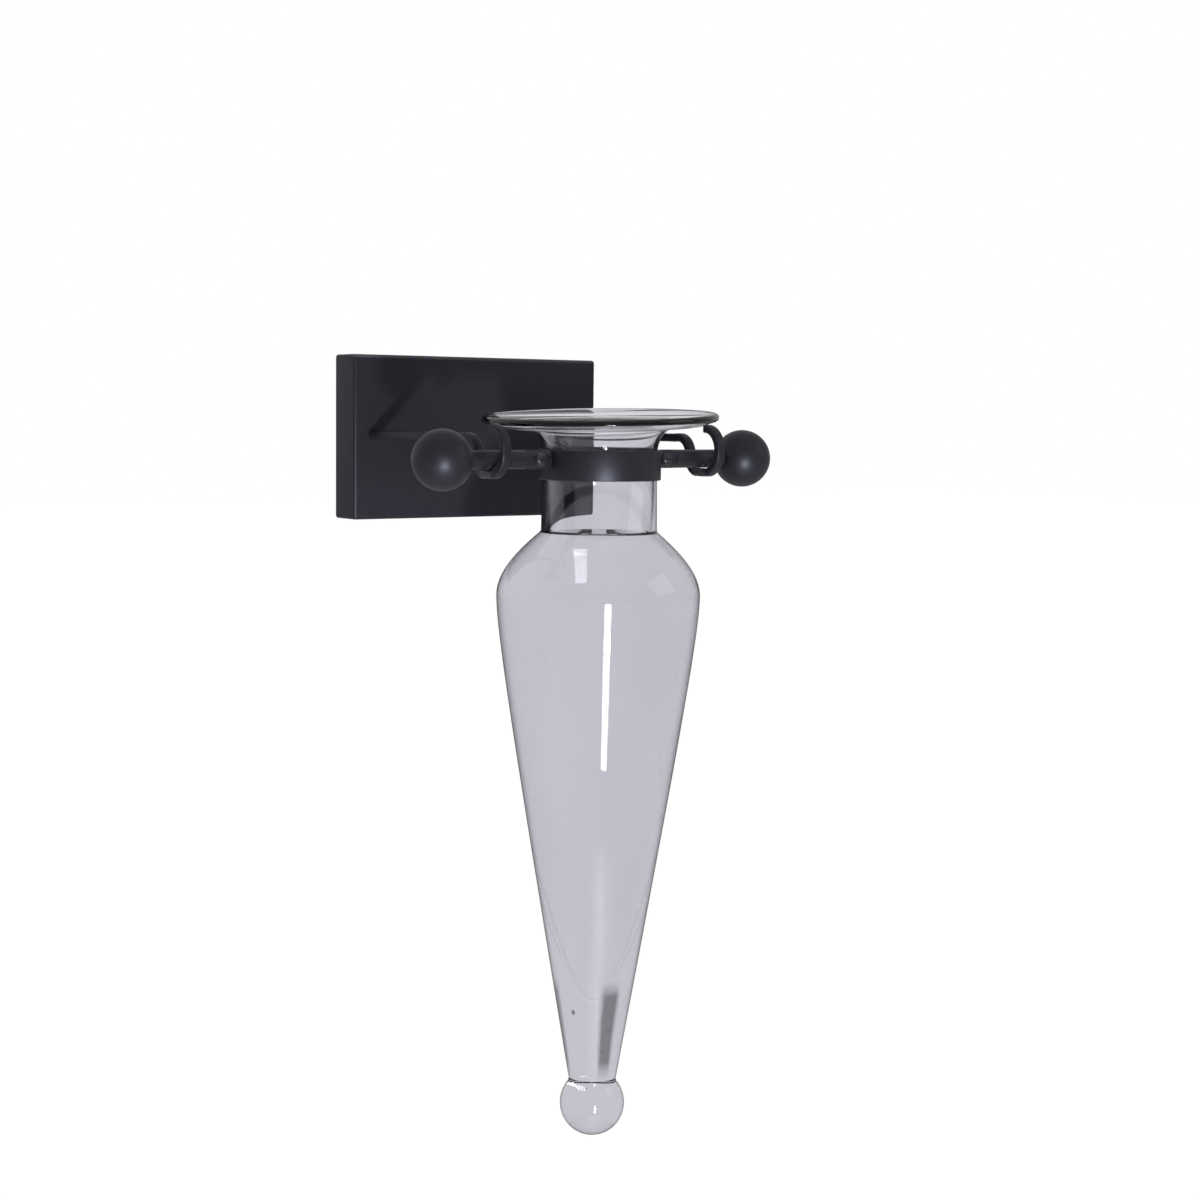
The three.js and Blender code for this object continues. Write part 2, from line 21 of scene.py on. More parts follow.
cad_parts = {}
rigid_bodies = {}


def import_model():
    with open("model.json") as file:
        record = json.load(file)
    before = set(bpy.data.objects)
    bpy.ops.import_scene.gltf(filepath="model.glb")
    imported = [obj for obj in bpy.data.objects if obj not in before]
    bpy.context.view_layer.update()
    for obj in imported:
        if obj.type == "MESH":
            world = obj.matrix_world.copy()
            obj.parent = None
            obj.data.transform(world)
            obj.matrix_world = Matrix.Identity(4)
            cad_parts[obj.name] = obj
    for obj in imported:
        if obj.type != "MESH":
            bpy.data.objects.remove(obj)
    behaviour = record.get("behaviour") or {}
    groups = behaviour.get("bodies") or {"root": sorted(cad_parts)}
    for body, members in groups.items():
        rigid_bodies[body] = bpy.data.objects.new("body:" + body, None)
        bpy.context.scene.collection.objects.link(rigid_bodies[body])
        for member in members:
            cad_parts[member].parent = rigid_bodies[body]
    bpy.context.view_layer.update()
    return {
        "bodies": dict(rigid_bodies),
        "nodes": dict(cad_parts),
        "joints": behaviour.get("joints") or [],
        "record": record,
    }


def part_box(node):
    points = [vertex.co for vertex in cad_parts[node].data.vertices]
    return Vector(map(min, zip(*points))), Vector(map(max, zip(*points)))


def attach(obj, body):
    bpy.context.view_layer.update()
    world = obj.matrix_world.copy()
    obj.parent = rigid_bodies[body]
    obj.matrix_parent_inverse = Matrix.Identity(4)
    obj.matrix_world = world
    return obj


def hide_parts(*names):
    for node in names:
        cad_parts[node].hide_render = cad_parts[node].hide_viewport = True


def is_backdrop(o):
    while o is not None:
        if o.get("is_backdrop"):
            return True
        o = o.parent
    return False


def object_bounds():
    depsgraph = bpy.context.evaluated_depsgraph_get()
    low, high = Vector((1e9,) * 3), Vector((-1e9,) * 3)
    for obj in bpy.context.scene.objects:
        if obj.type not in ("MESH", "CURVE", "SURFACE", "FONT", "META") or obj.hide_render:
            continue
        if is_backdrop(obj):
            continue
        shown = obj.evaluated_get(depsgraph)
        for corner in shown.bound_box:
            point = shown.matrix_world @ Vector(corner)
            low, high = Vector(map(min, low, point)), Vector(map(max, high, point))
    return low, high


LOG = logging.getLogger("sconce")
MM = 0.001
MERGE = 1e-6
X_AXIS = Vector((1, 0, 0))
Y_AXIS = Vector((0, 1, 0))
Z_AXIS = Vector((0, 0, 1))
BMesh = bmesh.types.BMesh
Material = bpy.types.Material
Object = bpy.types.Object
Pair = tuple[float, float]
Colour = tuple[float, float, float]
Inputs = dict[str | int, object]


class Side(Enum):
    """The two mirrored sides of the sconce, as signs along X."""

    LEFT = -1
    RIGHT = 1

    @property
    def word(self) -> str:
        """The side's word in the nodes' names."""
        return self.name.lower()


class Half(Enum):
    """The two halves of the collar, as signs along Y."""

    FRONT = -1
    REAR = 1


class Work(Enum):
    """What one body does to another."""

    CUT = "DIFFERENCE"
    JOIN = "UNION"


# Shader maths


def operator(kind: str, swapped: bool = False) -> Callable[[Value, Value | float], Value]:
    """Makes an operator of shader sockets.

    Args:
        kind: The Math node's operation.
        swapped: Whether the other value comes first.

    Returns:
        The operator.
    """
    def method(self: Value, other: Value | float) -> Value:
        """Adds the Math node."""
        pair = (other, self) if swapped else (self, other)
        return self.shader.maths(kind, *pair)
    return method


class Value:
    """A shader socket that takes part in Python expressions."""

    __add__ = __radd__ = operator("ADD")
    __sub__ = operator("SUBTRACT")
    __rsub__ = operator("SUBTRACT", swapped=True)
    __mul__ = __rmul__ = operator("MULTIPLY")
    __truediv__ = operator("DIVIDE")
    __pow__ = operator("POWER")

    def __init__(self, shader: Shader, socket: bpy.types.NodeSocket) -> None:
        """Keeps the nodes that the socket belongs to."""
        self.shader = shader
        self.socket = socket

    def __abs__(self) -> Value:
        """The size without its sign."""
        return self.shader.maths("ABSOLUTE", self)

    def clamped(self) -> Value:
        """The value held between 0 and 1."""
        return self.shader.maths("MAXIMUM", self.shader.maths("MINIMUM", self, 1.0), 0.0)

    def over(self, low: float, high: float) -> Value:
        """A mask that rises from 0 at low to 1 at high."""
        return ((self - low) / (high - low)).clamped()


class Shader:
    """The nodes of one material or world."""

    def __init__(self, owner: Material | bpy.types.World) -> None:
        """Empties the owner's node tree.

        Args:
            owner: The material or world.
        """
        self.owner = owner
        owner.use_nodes = True
        self.tree = owner.node_tree
        self.tree.nodes.clear()

    @classmethod
    def of_material(cls, name: str) -> Shader:
        """The nodes of a new material."""
        return cls(bpy.data.materials.new(name))

    def node(self, kind: str, inputs: Inputs | None = None, **settings: object) -> bpy.types.Node:
        """Adds a node.

        Args:
            kind: The node's type.
            inputs: Values or links of its sockets, by name or number.
            **settings: Its own settings, set first.

        Returns:
            The node.
        """
        made = self.tree.nodes.new(f"ShaderNode{kind}")
        for key, value in settings.items():
            setattr(made, key, value)
        for key, value in (inputs or {}).items():
            if isinstance(value, Value):
                self.tree.links.new(value.socket, made.inputs[key])
            else:
                made.inputs[key].default_value = value
        return made

    def value(self, kind: str, inputs: Inputs | None = None, out: str | int = 0, **settings: object) -> Value:
        """Adds a node and gives one of its outputs, by name or number."""
        return Value(self, self.node(kind, inputs, **settings).outputs[out])

    def maths(self, operation: str, *values: Value | float) -> Value:
        """A Math node on these values."""
        return self.value("Math", dict(enumerate(values)), operation=operation)

    def place(self) -> Value:
        """Object coordinates."""
        return self.value("TexCoord", out="Object")

    def stretched(self, factors: Colour) -> Value:
        """Object coordinates, scaled along each axis."""
        return self.value("Mapping", {"Vector": self.place(), "Scale": factors})

    def axis(self, name: str, of: Value | None = None) -> Value:
        """One coordinate, of the object unless another vector is given."""
        return self.value("SeparateXYZ", {0: of or self.place()}, name)

    def noise(self, scale: float, detail: float = 3.0, rough: float = 0.5, at: Value | None = None) -> Value:
        """Fractal noise from 0 to 1.

        Args:
            scale: Spots per metre.
            detail: Octaves.
            rough: Strength of the finer octaves.
            at: Coordinates, or None for Object coordinates.

        Returns:
            The noise.
        """
        inputs = {"Vector": at or self.place(), "Scale": scale, "Detail": detail, "Roughness": rough}
        return self.value("TexNoise", inputs)

    def cells(self, scale: float) -> Value:
        """Distance to the nearest cell's middle, in cells."""
        return self.value("TexVoronoi", {"Vector": self.place(), "Scale": scale}, "Distance")

    def blended(self, factor: Value, low: Value | Colour, high: Value | Colour) -> Value:
        """A colour between two by a mask.

        Args:
            factor: The mask.
            low: Colour where it is 0.
            high: Colour where it is 1.

        Returns:
            The colour.
        """
        first, second = (end if isinstance(end, Value) else (*end, 1.0) for end in (low, high))
        return self.value("Mix", {"Factor": factor, 6: first, 7: second}, 2, data_type="RGBA")

    def bump(self, height: Value, strength: float, distance: float, under: Value | None = None) -> Value:
        """A bumped normal.

        Args:
            height: The relief from 0 to 1.
            strength: Its share.
            distance: Its depth in metres.
            under: Another bump beneath it.

        Returns:
            The normal.
        """
        inputs: Inputs = {"Height": height, "Strength": strength, "Distance": distance}
        if under:
            inputs["Normal"] = under
        return self.value("Bump", inputs)

    def principled(self, inputs: Inputs) -> Value:
        """A Principled surface with these sockets."""
        return self.value("BsdfPrincipled", inputs)

    def mixed(self, share: Value, first: Value, second: Value) -> Value:
        """One surface that gives way to another by a mask."""
        return self.value("MixShader", {0: share, 1: first, 2: second})

    def closed(self, surface: Value) -> Material | bpy.types.World:
        """Joins the surface to the output.

        Args:
            surface: The finished surface or background.

        Returns:
            The material or world.
        """
        world = isinstance(self.owner, bpy.types.World)
        self.node("OutputWorld" if world else "OutputMaterial", {0: surface})
        return self.owner


# Finishes


@dataclass(frozen=True)
class IronFinish:
    """Satin black coat on forged iron, with a cool cast."""

    dark: Colour = (0.0090, 0.0084, 0.0106)
    light: Colour = (0.0155, 0.0147, 0.0190)
    # Paler coat: real rub marks on arms and rods, and a painted highlight on the plate's top fold.
    worn: Colour = (0.075, 0.075, 0.085)
    tint: Colour = (0.76, 0.78, 1.0)
    shades: Pair = (0.35, 0.85)
    roughness: float = 0.42
    specular: float = 0.36
    cloud_scale: float = 14.0
    cloud_share: float = 0.7
    cloud_gloss: float = 0.12
    speckle_scale: float = 520.0
    speckle_share: float = 0.45
    speckle_gloss: float = 0.10
    worn_scale: float = 900.0
    worn_gloss: float = 0.12
    dent_scale: float = 150.0
    dent_depth: float = 0.0004
    grain_scale: float = 2200.0
    grain_depth: float = 0.00003

    def material(
        self,
        name: str,
        dents: float,
        rubbed: Callable[[Shader], Value] | None = None,
        spots: Pair = (0.38, 0.62),
    ) -> Material:
        """Makes the coat for one kind of piece.

        Args:
            name: The material's name.
            dents: How strongly the hammer's dents show.
            rubbed: Makes the mask of a place painted paler and glossier: real rub marks on the arms and rods,
                and a painted highlight along the plate's top fold.
            spots: Noise levels between which the paler spots fade in.

        Returns:
            The material.
        """
        shader = Shader.of_material(name)
        cloud = shader.noise(self.cloud_scale, 4.0, 0.6)
        speckle = shader.noise(self.speckle_scale, 2.0)
        shade = (cloud * self.cloud_share + speckle * self.speckle_share).over(*self.shades)
        colour = shader.blended(shade, self.dark, self.light)
        roughness = self.roughness + (cloud - 0.5) * self.cloud_gloss + (speckle - 0.5) * self.speckle_gloss
        # Paints the paler, glossier coat where the mask is: real rub marks on arms and rods, a painted
        # highlight on the plate's top fold.
        if rubbed:
            mask = rubbed(shader) * shader.noise(self.worn_scale).over(*spots)
            colour = shader.blended(mask, colour, self.worn)
            roughness = roughness - mask * self.worn_gloss
        dent = shader.bump(shader.noise(self.dent_scale, rough=0.55), dents, self.dent_depth)
        return shader.closed(shader.principled({
            "Base Color": colour,
            "Roughness": roughness,
            "Metallic": 0.0,
            "Specular IOR Level": self.specular,
            "Specular Tint": (*self.tint, 1.0),
            "Normal": shader.bump(shader.noise(self.grain_scale, 2.0), 0.5, self.grain_depth, dent),
        }))


@dataclass(frozen=True)
class ZincFinish:
    """Plain zinc plate on the hidden steel."""

    dark: Colour = (0.40, 0.41, 0.42)
    light: Colour = (0.58, 0.59, 0.60)
    shades: Pair = (0.2, 0.9)
    share: float = 0.6
    roughness: float = 0.38
    metallic: float = 0.9
    spangle_scale: float = 160.0
    brush_scale: float = 60.0
    brush_stretch: Colour = (1.0, 1.0, 14.0)
    brush_gloss: float = 0.25
    brush_depth: float = 0.0001

    def material(self, name: str) -> Material:
        """Makes the plated steel with its faint spangle.

        Args:
            name: The material's name.

        Returns:
            The material.
        """
        shader = Shader.of_material(name)
        spangle = shader.cells(self.spangle_scale)
        brushed = shader.noise(self.brush_scale, 4.0, 0.6, shader.stretched(self.brush_stretch))
        shade = (spangle * self.share + brushed * self.share).over(*self.shades)
        return shader.closed(shader.principled({
            "Base Color": shader.blended(shade, self.dark, self.light),
            "Roughness": self.roughness + (brushed - 0.5) * self.brush_gloss,
            "Metallic": self.metallic,
            "Normal": shader.bump(brushed, 0.2, self.brush_depth),
        }))


@dataclass(frozen=True)
class ScrewFinish:
    """Blackened steel of the small fasteners."""

    dark: Colour = (0.016, 0.016, 0.020)
    light: Colour = (0.035, 0.035, 0.040)
    shades: Pair = (0.3, 0.7)
    roughness: float = 0.36
    metallic: float = 0.35
    cloud_scale: float = 260.0
    cloud_gloss: float = 0.2
    grain_scale: float = 2400.0
    grain_depth: float = 0.00005

    def material(self, name: str) -> Material:
        """Makes the oiled black steel.

        Args:
            name: The material's name.

        Returns:
            The material.
        """
        shader = Shader.of_material(name)
        cloud = shader.noise(self.cloud_scale, 4.0, 0.6)
        return shader.closed(shader.principled({
            "Base Color": shader.blended(cloud.over(*self.shades), self.dark, self.light),
            "Roughness": self.roughness + (cloud - 0.5) * self.cloud_gloss,
            "Metallic": self.metallic,
            "Normal": shader.bump(shader.noise(self.grain_scale, 2.0), 0.2, self.grain_depth),
        }))


@dataclass(frozen=True)
class Cord:
    """A dark streak painted down one side of the solid glass, standing in for dark surroundings seen through
    it.

    Its direction runs from +X towards +Y, in degrees as half its width does.
    """

    direction: float
    half_width: float
    strength: float


@dataclass(frozen=True)
class GlassFinish:
    """Clear hand-blown glass, its body painted a lavender grey that stands in for the grey backdrop seen
    through it, with painted dark shade along its outlines.

    The hollow below the neck has a lower index, so it bends light as softly as in use.
    """

    # Lavender grey painted into the body and its drawn streaks: the grey backdrop seen through clear glass.
    body: Colour = (0.560, 0.560, 0.620)
    streak: Colour = (0.505, 0.505, 0.565)
    # Painted shade: colour of the dark streaks in the solid glass.
    smoke: Colour = (0.065, 0.065, 0.076)
    clear: Colour = (0.985, 0.985, 0.99)
    # Painted shade: colour of the dark surface mixed in where the glass is seen edge-on.
    outline: Colour = (0.035, 0.034, 0.042)
    ior: float = 1.48
    hollow_ior: float = 1.12
    drawn_scale: float = 30.0
    drawn_stretch: Colour = (1.0, 1.0, 0.12)
    drawn_shades: Pair = (0.35, 0.75)
    faint_scale: float = 18.0
    faint_shades: Pair = (0.3, 0.8)
    faint_share: float = 0.97
    smear: float = 0.012
    smear_scale: float = 40.0
    smear_shades: Pair = (0.5, 0.8)
    edge: Pair = (0.58, 0.97)
    edge_share: float = 0.95
    edge_power: float = 1.6
    inner_edge: float = 0.25
    lip_edge: float = 0.42
    wisp_scale: float = 160.0
    wisp_stretch: Colour = (1.0, 1.0, 0.25)
    cord_side: Pair = (0.55, 1.05)
    cord_low: Pair = (-0.02, 0.22)
    cord_high: Pair = (1.10, 1.30)
    # Where the painted dark streaks lie and how strong they are.
    cords: tuple[Cord, ...] = (Cord(-101.0, 17.0, 1.0), Cord(162.0, 16.0, 0.85))

    def wall(self, name: str, hollow: str, solid: Pair, lip: Pair, axis_y: float) -> Material:
        """Makes the glass of the outer wall, the lip and the neck.

        Args:
            name: The material's name.
            hollow: The mesh's attribute that is 1 on the inner wall.
            solid: Heights of the solid glass, lower end first.
            lip: Heights between which the painted outline shade grows fainter.
            axis_y: Place of the vase's axis.

        Returns:
            The material.
        """
        shader = Shader.of_material(name)
        drawn = shader.noise(self.drawn_scale, at=shader.stretched(self.drawn_stretch))
        body = shader.blended(drawn.over(*self.drawn_shades), self.body, self.streak)
        # Paints dark streaks into the solid glass, as painted shade.
        for cord in self.cords:
            body = shader.blended(self.smoky(shader, cord, solid, axis_y), body, self.smoke)
        inside = shader.value("Attribute", out="Fac", attribute_name=hollow)
        colour = shader.blended(inside, body, self.clear)
        outer = 1 - shader.value("NewGeometry", out="Backfacing")
        thin = 1 - shader.axis("Z").over(*lip) * (1 - self.lip_edge)
        return self.outlined(shader, colour, self.ior, outer * thin * (1 - inside * (1 - self.inner_edge)))

    def inner_wall(self, name: str) -> Material:
        """Makes the clear wall of the hollow below the neck.

        Args:
            name: The material's name.

        Returns:
            The material.
        """
        shader = Shader.of_material(name)
        faint = shader.noise(self.faint_scale).over(*self.faint_shades)
        colour = shader.blended(faint, self.clear, tuple(self.faint_share * part for part in self.clear))
        return self.outlined(shader, colour, self.hollow_ior, self.inner_edge)

    def smoky(self, shader: Shader, cord: Cord, solid: Pair, axis_y: float) -> Value:
        """The mask of one painted dark streak.

        Args:
            shader: The material's nodes.
            cord: The dark streak painted in.
            solid: Heights of the solid glass, lower end first.
            axis_y: Place of the vase's axis.

        Returns:
            The mask.
        """
        x = shader.axis("X")
        y = shader.axis("Y") - axis_y
        angle = math.radians(cord.direction)
        along = (x * math.cos(angle) + y * math.sin(angle)) / (x * x + y * y) ** 0.5
        off = shader.maths("ARCCOSINE", along) / math.radians(cord.half_width)
        height = (shader.axis("Z") - solid[0]) / (solid[1] - solid[0])
        ragged = shader.noise(self.wisp_scale, rough=0.6, at=shader.stretched(self.wisp_stretch))
        side = 1 - (off + (ragged - 0.5) * 0.5).over(*self.cord_side)
        return side * height.over(*self.cord_low) * (1 - height.over(*self.cord_high)) * cord.strength

    def outlined(self, shader: Shader, colour: Value, ior: float, share: Value | float) -> Material:
        """Joins clear glass and a painted dark shade along its outline, where it is seen edge-on.

        Args:
            shader: The material's nodes.
            colour: Colour of the glass.
            ior: Its index.
            share: How much of the painted outline shade this wall shows.

        Returns:
            The material.
        """
        glass = shader.principled({
            "Base Color": colour,
            "Roughness": shader.noise(self.smear_scale, 4.0, 0.6).over(*self.smear_shades) * self.smear,
            "IOR": ior,
            "Transmission Weight": 1.0,
        })
        # A dark surface painted in at grazing angles, as painted shade along the outline.
        dark = {"Base Color": (*self.outline, 1.0), "Specular IOR Level": 0.0, "Roughness": 0.5}
        facing = shader.value("LayerWeight", {"Blend": 0.5}, "Facing")
        edge = facing.over(*self.edge) ** self.edge_power * share * self.edge_share
        return shader.closed(shader.mixed(edge, glass, shader.principled(dark)))


# Mesh tools


def smooth_step(value: float, low: float, high: float) -> float:
    """A share that rises softly from 0 at low to 1 at high."""
    share = min(max((value - low) / (high - low), 0.0), 1.0)
    return share * share * (3 - 2 * share)


def arc(centre: Pair, radius: float, start: float, end: float, steps: int) -> list[Pair]:
    """Points on an arc, with angles in degrees from the first axis.

    Args:
        centre: Middle of the arc.
        radius: Its radius.
        start: First angle.
        end: Last angle.
        steps: Steps between them.

    Returns:
        The points.
    """
    angles = [math.radians(start + (end - start) * i / steps) for i in range(steps + 1)]
    return [(centre[0] + radius * math.cos(a), centre[1] + radius * math.sin(a)) for a in angles]


def curve(controls: Sequence[Pair], steps: int) -> list[Pair]:
    """Points on a cubic curve.

    Args:
        controls: Its four control points.
        steps: Steps along it.

    Returns:
        The points.
    """
    points = []
    for i in range(steps + 1):
        t = i / steps
        weights = ((1 - t) ** 3, 3 * t * (1 - t) ** 2, 3 * t * t * (1 - t), t ** 3)
        points.append(tuple(sum(w * c[axis] for w, c in zip(weights, controls)) for axis in (0, 1)))
    return points


def turned(
    outline: Iterable[Pair],
    centre: Vector,
    axis: Vector,
    steps: int,
    mark: str = "",
    marked_from: int = 0,
) -> BMesh:
    """Spins an outline about an axis into a closed body.

    Args:
        outline: (radius, place along the axis) pairs, from the axis back to the axis.
        centre: Point on the axis that places are counted from.
        axis: Direction of the axis.
        steps: Sides of the body.
        mark: Name of an attribute that is 1 on part of the body, or nothing.
        marked_from: First point of the outline that belongs to that part.

    Returns:
        The body, with its faces outwards.
    """
    bm = bmesh.new()
    layer = bm.verts.layers.float.new(mark) if mark else None
    across = axis.orthogonal().normalized()
    verts = [bm.verts.new(centre + across * radius + axis * along) for radius, along in outline]
    if layer:
        for vert in verts[marked_from:]:
            vert[layer] = 1.0
    edges = [bm.edges.new(pair) for pair in zip(verts, verts[1:])]
    bmesh.ops.spin(bm, geom=verts + edges, cent=centre, axis=axis, dvec=(0, 0, 0),
                   angle=math.tau, steps=steps, use_merge=True)
    bmesh.ops.remove_doubles(bm, verts=bm.verts, dist=MERGE)
    bmesh.ops.recalc_face_normals(bm, faces=bm.faces)
    return bm


def box_mesh(low: Sequence[float], high: Sequence[float]) -> BMesh:
    """A box.

    Args:
        low: Its lowest corner.
        high: Its highest corner.

    Returns:
        The box.
    """
    bm = bmesh.new()
    middle = (Vector(low) + Vector(high)) / 2
    size = Vector(high) - Vector(low)
    matrix = Matrix.Translation(middle) @ Matrix.Diagonal((*size, 1))
    bmesh.ops.create_cube(bm, size=1.0, matrix=matrix)
    return bm


def rounded(
    bm: BMesh,
    parts: Sequence,
    width: float,
    steps: int,
    affect: str = "EDGES",
    clamped: bool = False,
) -> None:
    """Rounds edges or corners of a mesh.

    Args:
        bm: The mesh.
        parts: Its edges or corners.
        width: Width of the rounding.
        steps: Steps across it.
        affect: What is rounded, edges or vertices.
        clamped: Whether it stops where it would overlap.
    """
    bmesh.ops.bevel(bm, geom=parts, offset=width, offset_type="OFFSET", segments=steps, profile=0.5,
                    affect=affect, material=-1, clamp_overlap=clamped)


def linked(bm: BMesh, name: str) -> Object:
    """Makes an object in the scene.

    Args:
        bm: Its mesh, which is freed.
        name: Its name.

    Returns:
        The object.
    """
    mesh = bpy.data.meshes.new(name)
    bm.to_mesh(mesh)
    bm.free()
    made = bpy.data.objects.new(name, mesh)
    bpy.context.scene.collection.objects.link(made)
    return made


@dataclass(frozen=True)
class Packed:
    """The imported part: its nodes with their bodies and slots, and where things are."""

    nodes: dict[str, Object]
    body_of: dict[str, str]
    slot_of: dict[str, str]
    rod_y: float
    rod_z: float
    arm_x: float
    ball_x: float
    ball_radius: float
    collar_top: float

    @classmethod
    def from_frame(cls, frame: dict) -> Packed:
        """Reads the record, the rods' axis, the arms, the balls and the collar's top edge.

        Args:
            frame: The loaded frame.

        Returns:
            What was read.
        """
        record = frame["record"]
        low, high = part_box("right_rod")
        arm_low, arm_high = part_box("right_arm")
        ball_low, ball_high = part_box("right_finial")
        radius = (ball_high.z - ball_low.z) / 2
        return cls(
            nodes=frame["nodes"],
            body_of={node: body for body, nodes in record["behaviour"]["bodies"].items() for node in nodes},
            slot_of={row["node"]: row["material_slot"] for row in record["subparts"]},
            rod_y=(low.y + high.y) / 2,
            rod_z=(low.z + high.z) / 2,
            arm_x=(arm_low.x + arm_high.x) / 2,
            ball_x=ball_high.x - radius,
            ball_radius=radius,
            collar_top=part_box("collar_front")[1].z,
        )

    def rod_point(self, x: float) -> Vector:
        """A point on the rods' axis."""
        return Vector((x, self.rod_y, self.rod_z))


class Piece:
    """A piece in the making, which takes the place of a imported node."""

    HOLE_SIDES = 32

    def __init__(self, packed: Packed, node: str, bm: BMesh) -> None:
        """Starts the piece.

        Args:
            packed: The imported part.
            node: The node that the piece replaces.
            bm: Its first body, which is used up.
        """
        self.packed = packed
        self.node = node
        self.obj = linked(bm, node)

    def modified(self, kind: str, **settings: object) -> None:
        """Writes a modifier's work into the mesh.

        Args:
            kind: The modifier's type.
            **settings: Its settings.
        """
        modifier = self.obj.modifiers.new("work", kind)
        for key, value in settings.items():
            setattr(modifier, key, value)
        bpy.context.view_layer.update()
        depsgraph = bpy.context.evaluated_depsgraph_get()
        mesh = bpy.data.meshes.new_from_object(self.obj.evaluated_get(depsgraph))
        self.obj.modifiers.clear()
        self.obj.data = mesh

    def worked(self, tool: BMesh, work: Work = Work.CUT) -> None:
        """Joins another body to the piece, or cuts it out.

        Args:
            tool: The other body, which is used up.
            work: What it does.
        """
        other = linked(tool, "tool")
        self.modified("BOOLEAN", operation=work.value, object=other, solver="EXACT")
        bpy.data.objects.remove(other)

    def drilled(self, at: Vector, axis: Vector, radius: float, reach: float) -> None:
        """Drills a round hole that reaches as far to either side of a point."""
        outline = [(0.0, -reach), (radius, -reach), (radius, reach), (0.0, reach)]
        self.worked(turned(outline, at, axis, self.HOLE_SIDES))

    def softened(self, width: float, steps: int, angle: float = 35.0) -> None:
        """Rounds the edges that are sharper than an angle in degrees."""
        self.modified("BEVEL", width=width, segments=steps, limit_method="ANGLE",
                      angle_limit=math.radians(angle), harden_normals=False)

    def done(self, *materials: Material, sharp: float = 32.0) -> None:
        """Dresses the piece, and lets it ride and stand for its node.

        Args:
            *materials: Its finishes, in the order of its faces' numbers.
            sharp: Angle in degrees past which an edge stays sharp.
        """
        obj = self.obj
        node = self.node
        obj.name = f"{node}.fine"
        obj.data.name = obj.name
        numbers = [face.material_index for face in obj.data.polygons]
        obj.data.materials.clear()
        for material in materials:
            obj.data.materials.append(material)
        obj.data.polygons.foreach_set("material_index", numbers)
        obj.data.shade_smooth()
        obj.data.set_sharp_from_angle(angle=math.radians(sharp))
        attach(obj, self.packed.body_of[node])
        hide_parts(node)
        LOG.info("%s: %d faces on %s", obj.name, len(obj.data.polygons), self.packed.body_of[node])


# Sub-assemblies


@dataclass
class Assembly:
    """A sub-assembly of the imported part."""

    packed: Packed

    def piece(self, node: str, bm: BMesh) -> Piece:
        """Starts a piece from its first body."""
        return Piece(self.packed, node, bm)

    def softened_copy(self, node: str, material: Material, width: float) -> None:
        """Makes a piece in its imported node's shape, with rounded edges.

        Args:
            node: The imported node.
            material: Its finish.
            width: Width of the rounding.
        """
        bm = bmesh.new()
        bm.from_mesh(self.packed.nodes[node].data)
        bmesh.ops.remove_doubles(bm, verts=bm.verts, dist=MERGE)
        bmesh.ops.dissolve_limit(bm, angle_limit=math.radians(1), verts=bm.verts, edges=bm.edges)
        copy = self.piece(node, bm)
        copy.softened(width, 3)
        copy.done(material)


